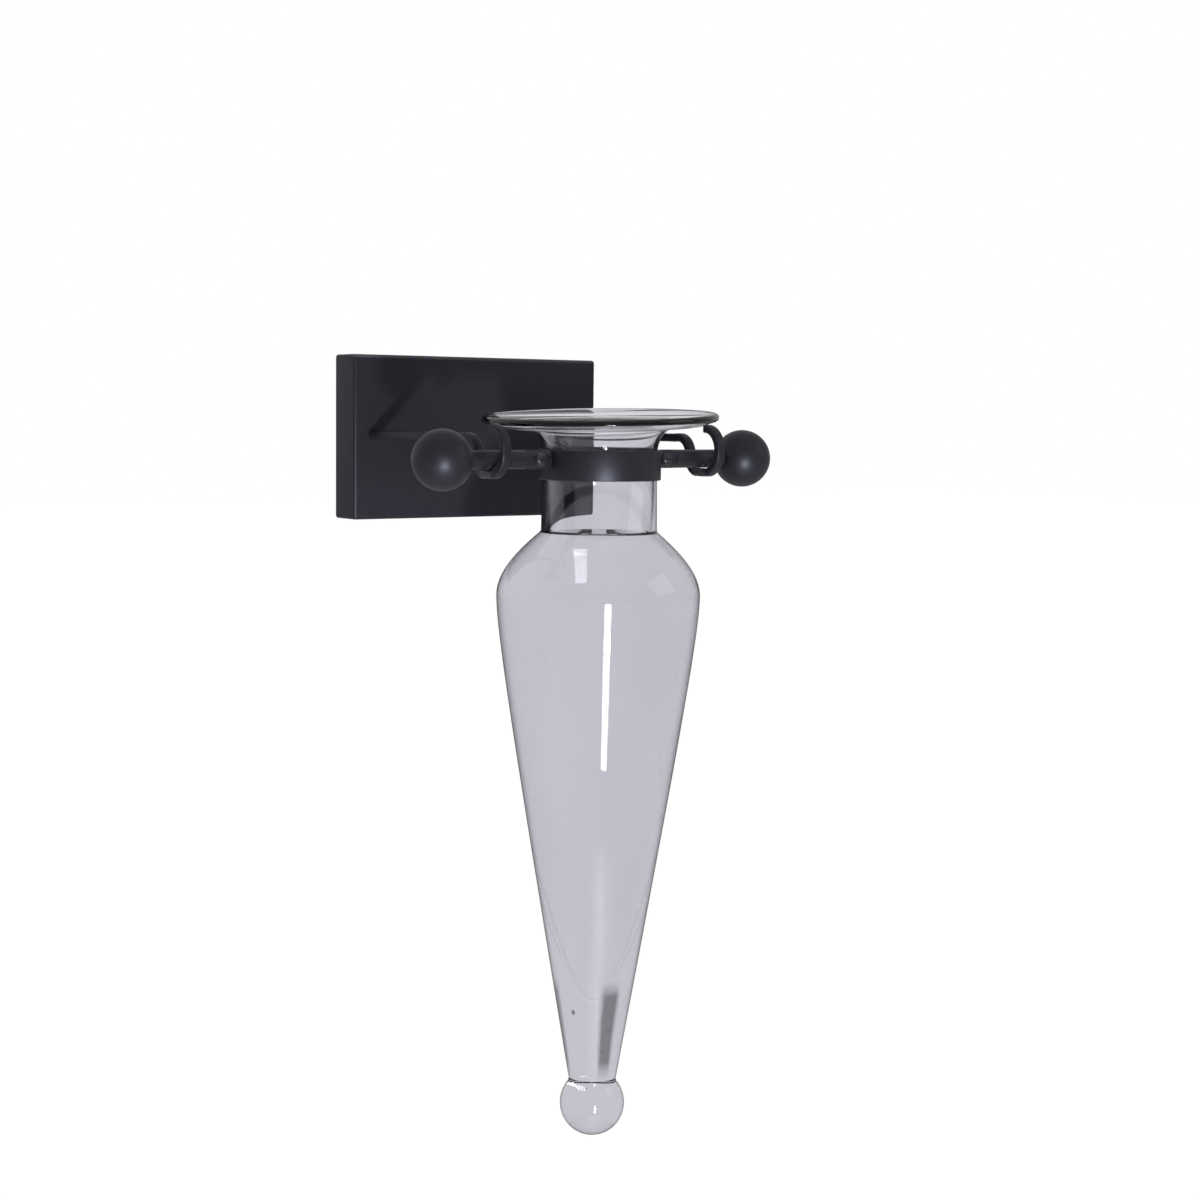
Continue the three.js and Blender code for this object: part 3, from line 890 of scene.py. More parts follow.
@dataclass
class WallPlate(Assembly):
    """The folded plate on the wall, with what is hidden behind it."""

    sheet: float = 2.0 * MM
    fold: float = 1.6 * MM
    fold_steps: int = 5
    dents: float = 0.04
    sharp: float = 40.0
    bore: float = 2.3 * MM
    strip_edge: float = 0.35 * MM
    nut_edge: float = 0.4 * MM
    chamfer: float = 0.4 * MM
    screw_sides: int = 40
    socket: float = 1.0 * MM
    socket_depth: float = 2.0 * MM
    # Where the painted highlight lies along the top fold, and how it breaks into spots.
    rub_below_top: Pair = (2.0 * MM, 0.7 * MM)
    rub_from_front: Pair = (0.9 * MM, 2.2 * MM)
    rub_spots: Pair = (0.15, 0.50)

    def build(self) -> None:
        """Builds the pan, the strip, the nuts and the lock screw."""
        # The plate's coat carries a painted highlight along its top fold.
        iron = IronFinish().material("plate_coat", self.dents, self.rubbed, self.rub_spots)
        zinc = ZincFinish().material("zinc_plate")
        self.pan(iron)
        self.softened_copy("mounting_strip", zinc, self.strip_edge)
        for side in Side:
            self.softened_copy(f"{side.word}_arm_nut", zinc, self.nut_edge)
        self.lock_screw(ScrewFinish().material("lock_screw_steel"))

    def rubbed(self, shader: Shader) -> Value:
        """The rounded fold along the plate's top, where a pale sheen is painted on the coat as a highlight.

        Args:
            shader: The material's nodes.

        Returns:
            The mask.
        """
        low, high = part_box("wall_plate")
        near_top = shader.axis("Z").over(*(high.z - below for below in self.rub_below_top))
        return near_top * (1 - shader.axis("Y").over(*(low.y + behind for behind in self.rub_from_front)))

    def pan(self, material: Material) -> None:
        """Builds a box without its back, its folds rounded, given the sheet's thickness.

        Args:
            material: Its finish.
        """
        low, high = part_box("wall_plate")
        bm = box_mesh(low, high)
        back = [face for face in bm.faces if face.normal.y > 0.5]
        bmesh.ops.delete(bm, geom=back, context="FACES_ONLY")
        folds = [edge for edge in bm.edges if len(edge.link_faces) == 2]
        rounded(bm, folds, self.fold, self.fold_steps, clamped=True)
        bmesh.ops.recalc_face_normals(bm, faces=bm.faces)
        if sum(face.normal.y * face.calc_area() for face in bm.faces) > 0:
            bmesh.ops.reverse_faces(bm, faces=bm.faces)
        pan = self.piece("wall_plate", bm)
        pan.modified("SOLIDIFY", thickness=self.sheet, offset=-1, use_even_offset=True)
        nut_low, nut_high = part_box("left_arm_nut")
        for side in Side:
            at = Vector((side.value * self.packed.arm_x, low.y, (nut_low.z + nut_high.z) / 2))
            pan.drilled(at, Y_AXIS, self.bore, self.sheet * 2)
        at = sum(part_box("lock_screw"), Vector()) / 2
        at.z = low.z
        pan.drilled(at, Z_AXIS, self.bore, self.sheet * 2)
        pan.done(material, sharp=self.sharp)

    def lock_screw(self, material: Material) -> None:
        """Builds the headless screw with a hexagon socket in its lower end.

        Args:
            material: Its finish.
        """
        low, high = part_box("lock_screw")
        centre = Vector(((low.x + high.x) / 2, (low.y + high.y) / 2, low.z))
        radius = (high.x - low.x) / 2
        length = high.z - low.z
        outline = [
            (0.0, 0.0),
            (radius - self.chamfer, 0.0),
            (radius, self.chamfer),
            (radius, length - self.chamfer),
            (radius - self.chamfer, length),
            (0.0, length),
        ]
        screw = self.piece("lock_screw", turned(outline, centre, Z_AXIS, self.screw_sides))
        socket = bmesh.new()
        bmesh.ops.create_cone(socket, cap_ends=True, segments=6, radius1=self.socket, radius2=self.socket,
                              depth=self.socket_depth * 2, matrix=Matrix.Translation(centre))
        screw.worked(socket)
        screw.done(material)


@dataclass
class HookedArm(Assembly):
    """One arm: a forged bar that runs out and bends into an open hook."""

    width: float = 4.6 * MM
    thickness: float = 4.0 * MM
    edge: float = 0.9 * MM
    tip_edge: float = 0.45 * MM
    edge_steps: int = 3
    rise: float = 10.0 * MM
    standoff: float = 0.3 * MM
    arch_radius: float = 8.5 * MM
    arch_back: float = 10.0 * MM
    under_rod: float = 4.8 * MM
    hook_radius: float = 10.8 * MM
    flat_front: float = 2.5 * MM
    flat_back: float = 1.7 * MM
    tip: float = 2.0 * MM
    run_steps: int = 40
    flat_steps: int = 3
    tip_steps: int = 2
    bend_step: float = 6.0
    spigot_radius: float = 2.0 * MM
    spigot_root: float = 1.5 * MM
    spigot_length: float = 8.0 * MM
    spigot_chamfer: float = 0.3 * MM
    spigot_sides: int = 32
    hammer_depth: float = 0.10 * MM
    small_marks: float = 220.0
    large_marks: float = 90.0
    marks_apart: Colour = (7.0, 3.0, 1.0)
    dents: float = 0.35
    sharp: float = 50.0
    rub_below_axis: Pair = (3.5 * MM, 5.0 * MM)
    rub_beside: Pair = (3.0 * MM, 6.0 * MM)

    def build(self) -> None:
        """Builds both arms."""
        material = IronFinish().material("arm_coat", self.dents, self.rubbed)
        for side in Side:
            self.arm(side, material)

    def rubbed(self, shader: Shader) -> Value:
        """The mask of the hook's bottom, where the rod lies."""
        below = (self.packed.rod_z - shader.axis("Z")).over(*self.rub_below_axis)
        return below * (1 - abs(shader.axis("Y") - self.packed.rod_y).over(*self.rub_beside))

    def arm(self, side: Side, material: Material) -> None:
        """Extrudes and spins the bar's section along its line.

        Args:
            side: The side of the sconce.
            material: Its finish.
        """
        low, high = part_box(f"{side.word}_arm")
        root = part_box("wall_plate")[0].y - self.standoff
        x = (low.x + high.x) / 2
        start = Vector((x, root, self.packed.rod_z + self.rise))
        bm = bmesh.new()
        size = Matrix.Diagonal((self.width, self.thickness, 1, 1))
        matrix = Matrix.Translation(start) @ Matrix.Rotation(math.pi / 2, 4, "X") @ size
        bmesh.ops.create_grid(bm, x_segments=1, y_segments=1, size=0.5, matrix=matrix)
        rounded(bm, bm.verts[:], self.edge, self.edge_steps, "VERTICES")
        bottom = -self.under_rod - self.thickness / 2
        bowl = self.arch_back - self.flat_back
        arch_y = self.arch_back + self.arch_radius
        self.straight(bm, root - self.packed.rod_y - arch_y, -Y_AXIS, self.run_steps)
        self.bend(bm, Vector((x, arch_y, self.rise - self.arch_radius)), 90)
        self.bend(bm, Vector((x, self.flat_back, bottom + bowl)), -90)
        self.straight(bm, self.flat_back + self.flat_front, -Y_AXIS, self.flat_steps)
        self.bend(bm, Vector((x, -self.flat_front, bottom + self.hook_radius)), -180)
        self.straight(bm, self.tip, Y_AXIS, self.tip_steps)
        self.hammered(bm, low, high)
        rounded(bm, self.end_face(bm).edges[:], self.tip_edge, self.edge_steps)
        bmesh.ops.recalc_face_normals(bm, faces=bm.faces)
        arm = self.piece(f"{side.word}_arm", bm)
        spigot = [
            (0.0, -self.spigot_root),
            (self.spigot_radius, -self.spigot_root),
            (self.spigot_radius, self.spigot_length - self.spigot_chamfer),
            (self.spigot_radius - self.spigot_chamfer, self.spigot_length),
            (0.0, self.spigot_length),
        ]
        arm.worked(turned(spigot, start, Y_AXIS, self.spigot_sides), Work.JOIN)
        arm.done(material, sharp=self.sharp)

    @staticmethod
    def end_face(bm: BMesh) -> bmesh.types.BMFace:
        """The face at the moving end, which was made last."""
        bm.faces.ensure_lookup_table()
        return max((face for face in bm.faces if len(face.verts) > 4), key=lambda face: face.index)

    def grown(self, bm: BMesh) -> list[bmesh.types.BMVert]:
        """Extrudes the end face, which is kept only where it closes the bar's root.

        Args:
            bm: The bar so far.

        Returns:
            The new end's corners.
        """
        end = self.end_face(bm)
        made = bmesh.ops.extrude_face_region(bm, geom=[end])
        if end.is_valid and len(bm.faces) > 2 + len(end.verts):
            bmesh.ops.delete(bm, geom=[end], context="FACES_ONLY")
        bm.faces.index_update()
        return next(item for item in made["geom"] if isinstance(item, bmesh.types.BMFace)).verts[:]

    def straight(self, bm: BMesh, length: float, way: Vector, steps: int) -> None:
        """Runs the bar on along a line in short steps."""
        for _ in range(steps):
            bmesh.ops.translate(bm, verts=self.grown(bm), vec=way * (length / steps))

    def bend(self, bm: BMesh, middle: Vector, degrees: float) -> None:
        """Bends the bar about a line along X.

        Args:
            bm: The bar so far.
            middle: The bend's middle, seen from the rod's axis.
            degrees: Angle, positive from +Y to +Z.
        """
        centre = self.packed.rod_point(0) + middle
        steps = round(abs(degrees) / self.bend_step)
        turn = Matrix.Rotation(math.radians(degrees / steps), 3, "X")
        for _ in range(steps):
            bmesh.ops.rotate(bm, verts=self.grown(bm), cent=centre, matrix=turn)

    def hammered(self, bm: BMesh, low: Vector, high: Vector) -> None:
        """Works small dents into the bar, and keeps it inside its packed size.

        Args:
            bm: The bar.
            low: Lowest corner of its packed size.
            high: Highest corner.
        """
        for vert in bm.verts:
            small = noise.noise(vert.co * self.small_marks)
            large = noise.noise(vert.co * self.large_marks + Vector(self.marks_apart))
            vert.co -= vert.normal * self.hammer_depth * (0.5 + (small * 0.6 + large * 0.4))
            vert.co = Vector(min(max(c, a), b) for c, a, b in zip(vert.co, low, high))


@dataclass
class Cradle(Assembly):
    """The split collar, its rods, ball finials and clamping screws."""

    gap: float = 0.3 * MM
    collar_radius: float = 29.5 * MM
    collar_sheet: float = 1.7 * MM
    collar_height: float = 14.4 * MM
    collar_edge: float = 0.45 * MM
    collar_steps: int = 72
    ear_start: float = 0.6
    ear_end: float = 43.4 * MM
    ear_edge: float = 0.35 * MM
    screw_x: float = 37.2 * MM
    screw_bore: float = 1.8 * MM
    screw_reach: float = 5.0 * MM
    rod_radius: float = 4.5 * MM
    rod_edge: float = 0.5 * MM
    rod_steps: int = 24
    rod_sides: int = 48
    fork_flat: float = 0.6 * MM
    fork_end: float = 44.0 * MM
    fork_edge: float = 0.18 * MM
    fork_sharp: float = 50.0
    spigot_radius: float = 2.5 * MM
    spigot_length: float = 13.0 * MM
    spigot_chamfer: float = 0.4 * MM
    ball_bore_end: float = 1.0 * MM
    ball_chamfer: float = 0.3 * MM
    ball_steps: int = 40
    ball_sides: int = 72
    ball_sharp: float = 50.0
    head: float = 2.2 * MM
    shank: float = 1.5 * MM
    shank_chamfer: float = 0.3 * MM
    slot_half: float = 0.4 * MM
    slot_depth: float = 0.9 * MM
    screw_sides: int = 40
    nut_edge: float = 0.3 * MM
    rub_below_axis: Pair = (2.0 * MM, 4.0 * MM)
    rub_beside: Pair = (2.2 * MM, 3.2 * MM)

    def build(self) -> None:
        """Builds the cradle's pieces."""
        iron = IronFinish()
        band = iron.material("collar_coat", dents=0.10)
        rod = iron.material("rod_coat", dents=0.18, rubbed=self.rubbed)
        ball = iron.material("ball_coat", dents=0.06)
        steel = ScrewFinish().material("collar_screw_steel")
        for half in Half:
            self.half_band(half, band)
        for side in Side:
            self.rod(side, rod)
            self.finial(side, ball)
            self.screw(side, steel)
            self.softened_copy(f"{side.word}_collar_nut", steel, self.nut_edge)

    def rubbed(self, shader: Shader) -> Value:
        """The mask of each rod's underside, where it lies in its hook."""
        below = (self.packed.rod_z - shader.axis("Z")).over(*self.rub_below_axis)
        return below * (1 - abs(abs(shader.axis("X")) - self.packed.arm_x).over(*self.rub_beside))

    def half_band(self, half: Half, material: Material) -> None:
        """Builds half a band with two ears.

        Args:
            half: The room's half or the wall's.
            material: Its finish.
        """
        node = f"collar_{half.name.lower()}"
        centre = Vector((0, self.packed.rod_y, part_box(node)[0].z))
        opening = math.asin(self.gap / 2 / (self.collar_radius - self.collar_sheet))
        start = Vector((math.cos(opening), half.value * math.sin(opening), 0))
        bm = bmesh.new()
        outline = self.band_outline()
        verts = [bm.verts.new(centre + start * radius + Z_AXIS * height) for radius, height in outline]
        bmesh.ops.spin(bm, geom=[bm.faces.new(verts)], cent=centre, axis=Z_AXIS, dvec=(0, 0, 0),
                       angle=half.value * (math.pi - 2 * opening), steps=self.collar_steps)
        bmesh.ops.recalc_face_normals(bm, faces=bm.faces)
        band = self.piece(node, bm)
        for side in Side:
            band.worked(self.ear(side, half.value), Work.JOIN)
            at = self.packed.rod_point(side.value * self.screw_x)
            band.drilled(at, Y_AXIS, self.screw_bore, self.screw_reach)
        band.done(material)

    def band_outline(self) -> list[Pair]:
        """The band's section, with its edges broken.

        Returns:
            (radius, height) pairs from the band's lower edge.
        """
        edge = self.collar_edge
        inner = self.collar_radius - self.collar_sheet + edge
        outer = self.collar_radius - edge
        high = self.collar_height - edge
        return [
            *arc((outer, edge), edge, -90, 0, 3),
            *arc((outer, high), edge, 0, 90, 3),
            *arc((inner, high), edge, 90, 180, 3),
            *arc((inner, edge), edge, 180, 270, 3),
        ]

    def ear(self, side: Side, way: int) -> BMesh:
        """One flat ear, as high as the rod, that starts inside the band's wall.

        Args:
            side: The side of the sconce.
            way: The half's sign along Y.

        Returns:
            The ear.
        """
        near = side.value * (self.collar_radius - self.collar_sheet * self.ear_start)
        far = side.value * self.ear_end
        flat = self.packed.rod_y + way * self.gap / 2
        outer = flat + way * self.collar_sheet
        ear = box_mesh(
            (min(near, far), min(flat, outer), self.packed.rod_z - self.rod_radius),
            (max(near, far), max(flat, outer), self.packed.rod_z + self.rod_radius),
        )
        rounded(ear, ear.edges[:], self.ear_edge, 2)
        return ear

    def rod(self, side: Side, material: Material) -> None:
        """Builds a round rod with a forked inner end and a spigot outside.

        Args:
            side: The side of the sconce.
            material: Its finish.
        """
        start, end = sorted(abs(corner.x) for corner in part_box(f"{side.word}_rod"))
        shoulder = end - self.spigot_length
        soft = self.rod_edge
        length = shoulder - start - 2 * soft
        rings = [start + soft + length * i / self.rod_steps for i in range(1, self.rod_steps)]
        outline = [
            (0.0, start),
            *arc((self.rod_radius - soft, start + soft), soft, -90, 0, 4),
            *[(self.rod_radius, ring) for ring in rings],
            *arc((self.rod_radius - soft, shoulder - soft), soft, 0, 90, 4),
            (self.spigot_radius, shoulder),
            (self.spigot_radius, end - self.spigot_chamfer),
            (self.spigot_radius - self.spigot_chamfer, end),
            (0.0, end),
        ]
        centre = self.packed.rod_point(0)
        rod = self.piece(f"{side.word}_rod", turned(outline, centre, X_AXIS * side.value, self.rod_sides))
        slot = self.gap / 2 + self.collar_sheet + self.gap
        flat = self.rod_radius - self.fork_flat
        tall = self.rod_radius * 2
        reach = sorted((side.value * (start - MM), side.value * self.fork_end))
        for near, far in ((-slot, slot), (flat, flat * 2), (-flat * 2, -flat)):
            rod.worked(box_mesh(
                (reach[0], centre.y + near, centre.z - tall),
                (reach[1], centre.y + far, centre.z + tall),
            ))
        rod.drilled(self.packed.rod_point(side.value * self.screw_x), Y_AXIS, self.screw_bore, tall)
        rod.softened(self.fork_edge, 2, self.fork_sharp)
        rod.done(material)

    def finial(self, side: Side, material: Material) -> None:
        """Builds a ball with a small flat and a blind bore on the rod's side.

        Args:
            side: The side of the sconce.
            material: Its finish.
        """
        radius = self.packed.ball_radius
        flat = math.sqrt(radius ** 2 - (self.rod_radius + self.gap) ** 2)
        bore = self.spigot_radius + self.gap
        outline = [
            (0.0, self.ball_bore_end),
            (bore, self.ball_bore_end),
            (bore, self.ball_chamfer - flat),
            (bore + self.ball_chamfer, -flat),
            *arc((0, 0), radius, math.degrees(math.asin(-flat / radius)), 90, self.ball_steps)[:-1],
            (0.0, radius),
        ]
        centre = self.packed.rod_point(side.value * self.packed.ball_x)
        ball = turned(outline, centre, X_AXIS * side.value, self.ball_sides)
        self.piece(f"{side.word}_finial", ball).done(material, sharp=self.ball_sharp)

    def screw(self, side: Side, material: Material) -> None:
        """Builds a slotted pan-head screw, its head to the room.

        Args:
            side: The side of the sconce.
            material: Its finish.
        """
        node = f"{side.word}_collar_screw"
        low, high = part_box(node)
        radius = (high.x - low.x) / 2
        length = high.y - low.y
        centre = Vector(((low.x + high.x) / 2, low.y, (low.z + high.z) / 2))
        dome = [(0.3 * radius, 0.0), (0.85 * radius, 0.0), (radius, 0.35 * self.head), (radius, self.head)]
        outline = [
            (0.0, 0.0),
            *curve(dome, 10),
            (self.shank, self.head),
            (self.shank, length - self.shank_chamfer),
            (self.shank - self.shank_chamfer, length),
            (0.0, length),
        ]
        screw = self.piece(node, turned(outline, centre, Y_AXIS, self.screw_sides))
        screw.worked(box_mesh(
            (centre.x - radius, low.y - MM, centre.z - self.slot_half),
            (centre.x + radius, low.y + self.slot_depth, centre.z + self.slot_half),
        ))
        screw.done(material)


@dataclass(frozen=True)
class Seed:
    """A small air bubble in the solid glass, with its height above the pinch."""

    direction: float
    out: float
    rise: float
    radius: float


@dataclass
class Amphora(Assembly):
    """The blown glass: lip, neck, shoulder, long taper and ball foot.

    Heights are counted from the collar's top edge.
    """

    wall: float = 2.0 * MM
    neck_radius: float = 27.5 * MM
    lip_radius: float = 56.95 * MM
    lip_top: float = 17.0 * MM
    bead: float = 1.9 * MM
    lip_flat_radius: float = 50.0 * MM
    lip_flat_rise: float = 11.4 * MM
    lip_flat_inner: float = 39.0 * MM
    lip_sag: float = 0.6 * MM
    flare_start: float = 2.6 * MM
    flare_rise: float = 4.4 * MM
    flare_reach: float = 4.0 * MM
    neck_bottom: float = -39.2 * MM
    crease: float = 0.5 * MM
    shoulder_radius: float = 49.2 * MM
    shoulder_length: float = 31.0 * MM
    shoulder_slope: Pair = (7.0 * MM, 6.4 * MM)
    shoulder_full: float = 13.0 * MM
    taper_length: float = 236.5 * MM
    taper_start: float = 18.9 * MM
    taper_belly: Pair = (26.0 * MM, 84.0 * MM)
    pinch_radius: float = 12.1 * MM
    pinch_groove: float = 0.5 * MM
    foot_radius: float = 15.9 * MM
    foot_neck: float = 4.6 * MM
    hollow_depth: float = 197.0 * MM
    hollow_round: float = 1.8
    hollow_spread: float = 0.11
    hollow_end: float = 60.0 * MM
    hollow_end_steps: int = 30
    lean: float = 3.1
    low_side: float = 213.0
    lean_start: float = 1.0 * MM
    wave_depth: float = 0.10 * MM
    waves_around: float = 1.6
    waves_along: float = 22.0
    hollow_waves: float = 9.0
    sides: int = 192
    sharp: float = 60.0
    hollow: str = "hollow"
    seeds: tuple[Seed, ...] = (
        Seed(144.0, 6.5 * MM, 32.5 * MM, 1.0 * MM),
        Seed(20.0, 5.0 * MM, 12.0 * MM, 0.35 * MM),
        Seed(300.0, 6.0 * MM, 24.0 * MM, 0.4 * MM),
        Seed(80.0, 4.0 * MM, -10.0 * MM, 0.45 * MM),
    )

    @property
    def widest(self) -> float:
        """Height of the widest point."""
        return self.neck_bottom - self.shoulder_length

    @property
    def pinch(self) -> float:
        """Height of the pinch above the foot."""
        return self.widest - self.taper_length

    @property
    def hollow_tip(self) -> float:
        """Height of the hollow's lowest point."""
        return self.widest - self.hollow_depth

    def build(self) -> None:
        """Spins the closed outline, works it as blown glass is and sets its bubbles."""
        centre = Vector((0, self.packed.rod_y, self.packed.collar_top))
        outside = self.outside()
        bm = turned([*outside, *self.inside()], centre, Z_AXIS, self.sides, self.hollow, len(outside))
        self.blown(bm, centre)
        inner = bm.verts.layers.float[self.hollow]
        crease = centre.z + self.neck_bottom + 0.1 * MM
        for face in bm.faces:
            if all(vert[inner] > 0.5 and vert.co.z < crease for vert in face.verts):
                face.material_index = 1
        self.bubbles(bm, centre)
        finish = GlassFinish()
        solid = (centre.z + self.pinch, centre.z + self.hollow_tip)
        lip = (centre.z + self.lip_flat_rise / 2, centre.z + self.lip_flat_rise)
        wall = finish.wall("blown_glass", self.hollow, solid, lip, centre.y)
        self.piece("glass_vase", bm).done(wall, finish.inner_wall("blown_glass_hollow"), sharp=self.sharp)

    def blown(self, bm: BMesh, centre: Vector) -> None:
        """Lets the lip lean and the walls run in faint drawn waves.

        Args:
            bm: The spun body.
            centre: Its axis at the collar's top edge.
        """
        slope = math.tan(math.radians(self.lean))
        low = Vector((math.cos(math.radians(self.low_side)), math.sin(math.radians(self.low_side)), 0))
        hollow = bm.verts.layers.float[self.hollow]
        for vert in bm.verts:
            place = vert.co - centre
            out = Vector((place.x, place.y, 0))
            share = smooth_step(place.z, self.lean_start, self.lip_flat_rise)
            drop = share * place.dot(low) * slope
            if out.length > MM:
                way = out.normalized()
                along = place.z * self.waves_along + self.hollow_waves * vert[hollow]
                spot = Vector((way.x * self.waves_around, way.y * self.waves_around, along))
                wave = 0.5 + 0.5 * noise.noise(spot)
                vert.co -= way * self.wave_depth * wave * (1 - share)
            vert.co.z -= drop

    def lip(self, inset: float) -> list[Pair]:
        """The flare from the neck to the level part of the lip."""
        return curve([
            (self.neck_radius - inset, -self.flare_start),
            (self.neck_radius - inset, self.flare_rise),
            (self.neck_radius + self.flare_reach - inset / 2, self.lip_flat_rise + inset),
            (self.lip_flat_inner, self.lip_flat_rise - self.lip_sag + inset),
        ], 24)

    def shoulder(self, inset: float) -> list[Pair]:
        """From the crease under the neck to the widest point."""
        start = self.neck_radius + self.crease - inset
        return curve([
            (start, self.neck_bottom),
            (start + self.shoulder_slope[0], self.neck_bottom - self.shoulder_slope[1]),
            (self.shoulder_radius - inset, self.widest + self.shoulder_full),
            (self.shoulder_radius - inset, self.widest),
        ], 28)

    def taper(self, inset: float) -> list[Pair]:
        """From the widest point down to the pinch above the foot."""
        return curve([
            (self.shoulder_radius - inset, self.widest),
            (self.shoulder_radius - inset, self.widest - self.taper_start),
            (self.pinch_radius + self.taper_belly[0] - inset, self.widest - self.taper_belly[1]),
            (self.pinch_radius - inset, self.pinch),
        ], 64)

    def outside(self) -> list[Pair]:
        """The section from the foot's tip round the rim to the lip's upper side.

        Returns:
            (radius, height) pairs.
        """
        foot_z = self.pinch - self.foot_neck - math.sqrt(self.foot_radius ** 2 - self.pinch_radius ** 2)
        foot_end = math.degrees(math.acos(self.pinch_radius / self.foot_radius))
        return [
            (0.0, foot_z - self.foot_radius),
            *arc((0, foot_z), self.foot_radius, -90, foot_end, 32)[1:],
            (self.pinch_radius - self.pinch_groove, self.pinch - self.foot_neck / 2),
            *reversed(self.taper(0)),
            *reversed(self.shoulder(0)[:-1]),
            *self.lip(0),
            (self.lip_flat_radius, self.lip_flat_rise),
            *arc((self.lip_radius - self.bead, self.lip_top - self.bead), self.bead, -79, 101, 14),
        ]

    def hollow_radius(self, height: float) -> float:
        """The hollow's radius at a height above its lowest point, where the wall is thick."""
        return (self.hollow_round * math.sqrt(height / MM) + self.hollow_spread * height / MM) * MM

    def inside(self) -> list[Pair]:
        """The section from the lip's upper side down to the hollow's lowest point.

        Returns:
            (radius, height) pairs.
        """
        tip = self.hollow_tip
        thinning = [
            (min(radius, self.hollow_radius(height - tip)), height)
            for radius, height in self.taper(self.wall)
            if height > tip + self.hollow_end * 1.02
        ]
        steps = self.hollow_end_steps
        rises = [self.hollow_end * (1 - step / steps) ** 2 for step in range(steps)]
        return [
            (self.lip_flat_radius, self.lip_flat_rise + self.wall),
            *reversed(self.lip(self.wall)),
            *self.shoulder(self.wall),
            *thinning[1:],
            *[(self.hollow_radius(rise), tip + rise) for rise in rises],
            (0.0, tip),
        ]

    def bubbles(self, bm: BMesh, centre: Vector) -> None:
        """Sets small air bubbles in the solid glass above the foot.

        Args:
            bm: The glass.
            centre: Its axis at the collar's top edge.
        """
        for seed in self.seeds:
            angle = math.radians(seed.direction)
            spot = Vector((seed.out * math.cos(angle), seed.out * math.sin(angle), self.pinch + seed.rise))
            matrix = Matrix.Translation(centre + spot) @ Matrix.Diagonal((1, 1, 1.4, 1))
            made = bmesh.ops.create_icosphere(bm, subdivisions=2, radius=seed.radius, matrix=matrix)
            faces = list({face for vert in made["verts"] for face in vert.link_faces})
            bmesh.ops.reverse_faces(bm, faces=faces)


# Stage


@dataclass(frozen=True)
class Lamp:
    """A flat lamp that faces the rods.

    Its way runs from the rods' middle to the lamp. Its power is in watts.
    """

    name: str
    way: Colour
    distance: float
    power: float
    size: Pair


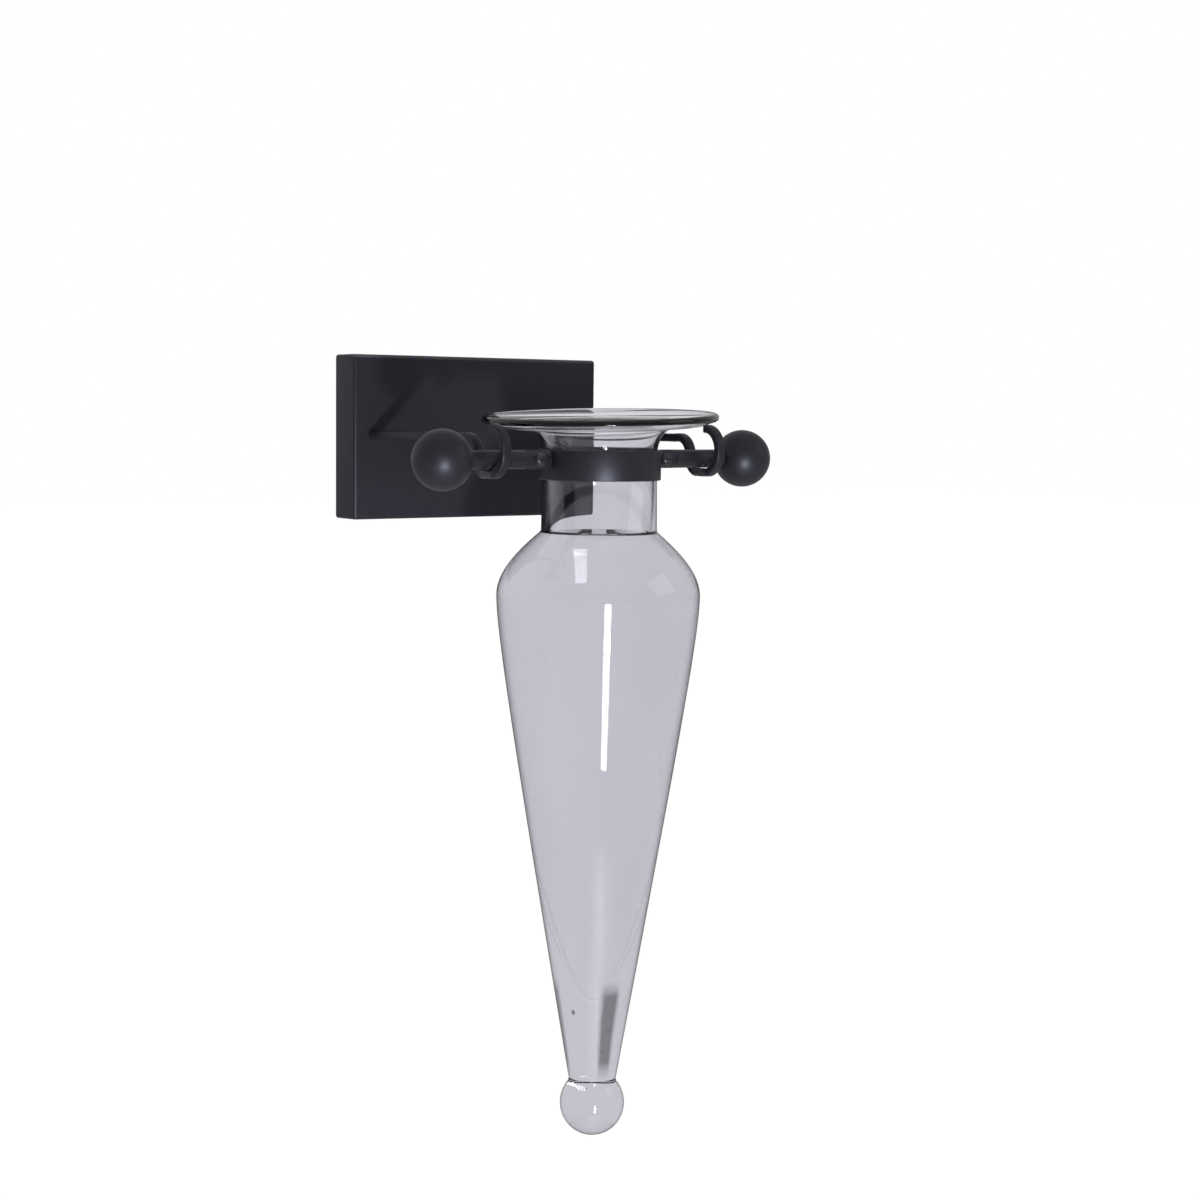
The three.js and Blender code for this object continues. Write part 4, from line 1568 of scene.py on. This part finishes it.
@dataclass
class Studio:
    """White studio, lamps and the camera at the photo's angle."""

    camera_at: Colour = (-0.5824, -0.9350, 0.0158)
    yaw: float = 35.838
    pitch: float = -5.286
    roll: float = 0.707
    focal_pixels: float = 2070.0
    picture: float = 1200.0
    sensor: float = 36.0
    near_clip: float = 0.01
    lamps_aim: Colour = (0, -0.127, -0.01)
    lamps: tuple[Lamp, ...] = (
        Lamp("key", (-0.37, -0.86, -0.365), 2.7, 54.0, (0.17, 0.17)),
        Lamp("strip", (-0.392, -0.856, -0.305), 1.8, 9.0, (0.24, 0.88)),
        Lamp("window", (0.675, -0.604, 0.42), 1.7, 2.3, (0.95, 0.85)),
    )
    floor_drop: float = 1.2
    floor_size: float = 60.0
    floor_paint: Colour = (0.9, 0.9, 0.9)
    floor_glow: float = 0.94
    floor_level: float = 1.05
    floor_glint: float = 0.05
    ambient: float = 0.42
    room: float = 0.30
    glint: float = 0.45
    backdrop: Pair = (-0.10, 0.60)
    ceiling: Pair = (0.45, 0.95)

    def build(self) -> None:
        """Sets up the world, floor, lamps and camera."""
        bpy.context.scene.view_settings.view_transform = "Standard"
        self.world()
        self.floor()
        for lamp in self.lamps:
            self.lamp(lamp)
        self.camera()

    @staticmethod
    def white_ray(shader: Shader, reflected: Value | float) -> Value:
        """Where a ray sees the white background.

        Args:
            shader: The world's or the floor's nodes.
            reflected: Share of it that is seen in a reflection.

        Returns:
            The mask.
        """
        kinds = ("Camera", "Transmission", "Glossy")
        camera, through, glossy = (shader.value("LightPath", out=f"Is {kind} Ray") for kind in kinds)
        return (camera + through + glossy * reflected).clamped()

    def world(self) -> None:
        """White background, a dimmer room on its far side, and a plain level of light."""
        shader = Shader(bpy.data.worlds.new("studio"))
        way = shader.value("TexCoord", out="Generated")
        behind = shader.axis("Y", way).over(*self.backdrop) * self.glint
        above = shader.axis("Z", way).over(*self.ceiling) * self.glint
        glossy = shader.value("LightPath", out="Is Glossy Ray")
        level = self.ambient - glossy * (self.ambient - self.room)
        strength = level + (1 - level) * self.white_ray(shader, shader.maths("MAXIMUM", behind, above))
        sky = shader.value("Background", {"Color": (1, 1, 1, 1), "Strength": strength})
        bpy.context.scene.world = shader.closed(sky)

    def floor(self) -> None:
        """A plain white floor far below, as under a sconce on a wall."""
        bm = bmesh.new()
        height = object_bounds()[0].z - self.floor_drop
        bmesh.ops.create_grid(bm, x_segments=1, y_segments=1, size=self.floor_size / 2,
                              matrix=Matrix.Translation((0, 0, height)))
        floor = linked(bm, "floor")
        shader = Shader.of_material("white_floor")
        paint = shader.value("BsdfDiffuse", {"Color": (*self.floor_paint, 1)})
        glow = shader.value("Emission", {"Color": (1, 1, 1, 1), "Strength": self.floor_level})
        share = self.white_ray(shader, self.floor_glint) * self.floor_glow
        floor.data.materials.append(shader.closed(shader.mixed(share, paint, glow)))
        floor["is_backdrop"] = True

    def lamp(self, lamp: Lamp) -> None:
        """Hangs one lamp.

        Args:
            lamp: What it is.
        """
        data = bpy.data.lights.new(lamp.name, "AREA")
        data.shape = "RECTANGLE"
        data.size, data.size_y = lamp.size
        data.energy = lamp.power
        made = bpy.data.objects.new(lamp.name, data)
        bpy.context.scene.collection.objects.link(made)
        way = Vector(lamp.way)
        made.location = Vector(self.lamps_aim) + way.normalized() * lamp.distance
        made.rotation_mode = "QUATERNION"
        made.rotation_quaternion = (-way).to_track_quat("-Z", "Y")

    def camera(self) -> None:
        """The camera where the photo was taken from."""
        data = bpy.data.cameras.new("camera")
        data.sensor_width = self.sensor
        data.lens = self.focal_pixels / self.picture * self.sensor
        data.clip_start = self.near_clip
        camera = bpy.data.objects.new("camera", data)
        bpy.context.scene.collection.objects.link(camera)
        yaw = math.radians(self.yaw)
        pitch = math.radians(self.pitch)
        forward = Vector((math.sin(yaw) * math.cos(pitch), math.cos(yaw) * math.cos(pitch), math.sin(pitch)))
        right = Vector((math.cos(yaw), -math.sin(yaw), 0))
        basis = Matrix((right, right.cross(forward), -forward)).transposed()
        turn = Quaternion(forward, math.radians(-self.roll)).to_matrix()
        camera.matrix_world = Matrix.Translation(self.camera_at) @ (turn @ basis).to_4x4()
        bpy.context.scene.camera = camera


def main() -> None:
    """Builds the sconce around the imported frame."""
    logging.basicConfig(level=logging.INFO, format="%(message)s")
    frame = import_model()
    Studio().build()
    part = Packed.from_frame(frame)
    for assembly in (WallPlate(part), HookedArm(part), Cradle(part), Amphora(part)):
        LOG.info("building %s", type(assembly).__name__)
        assembly.build()


if __name__ == "__main__":
    main()
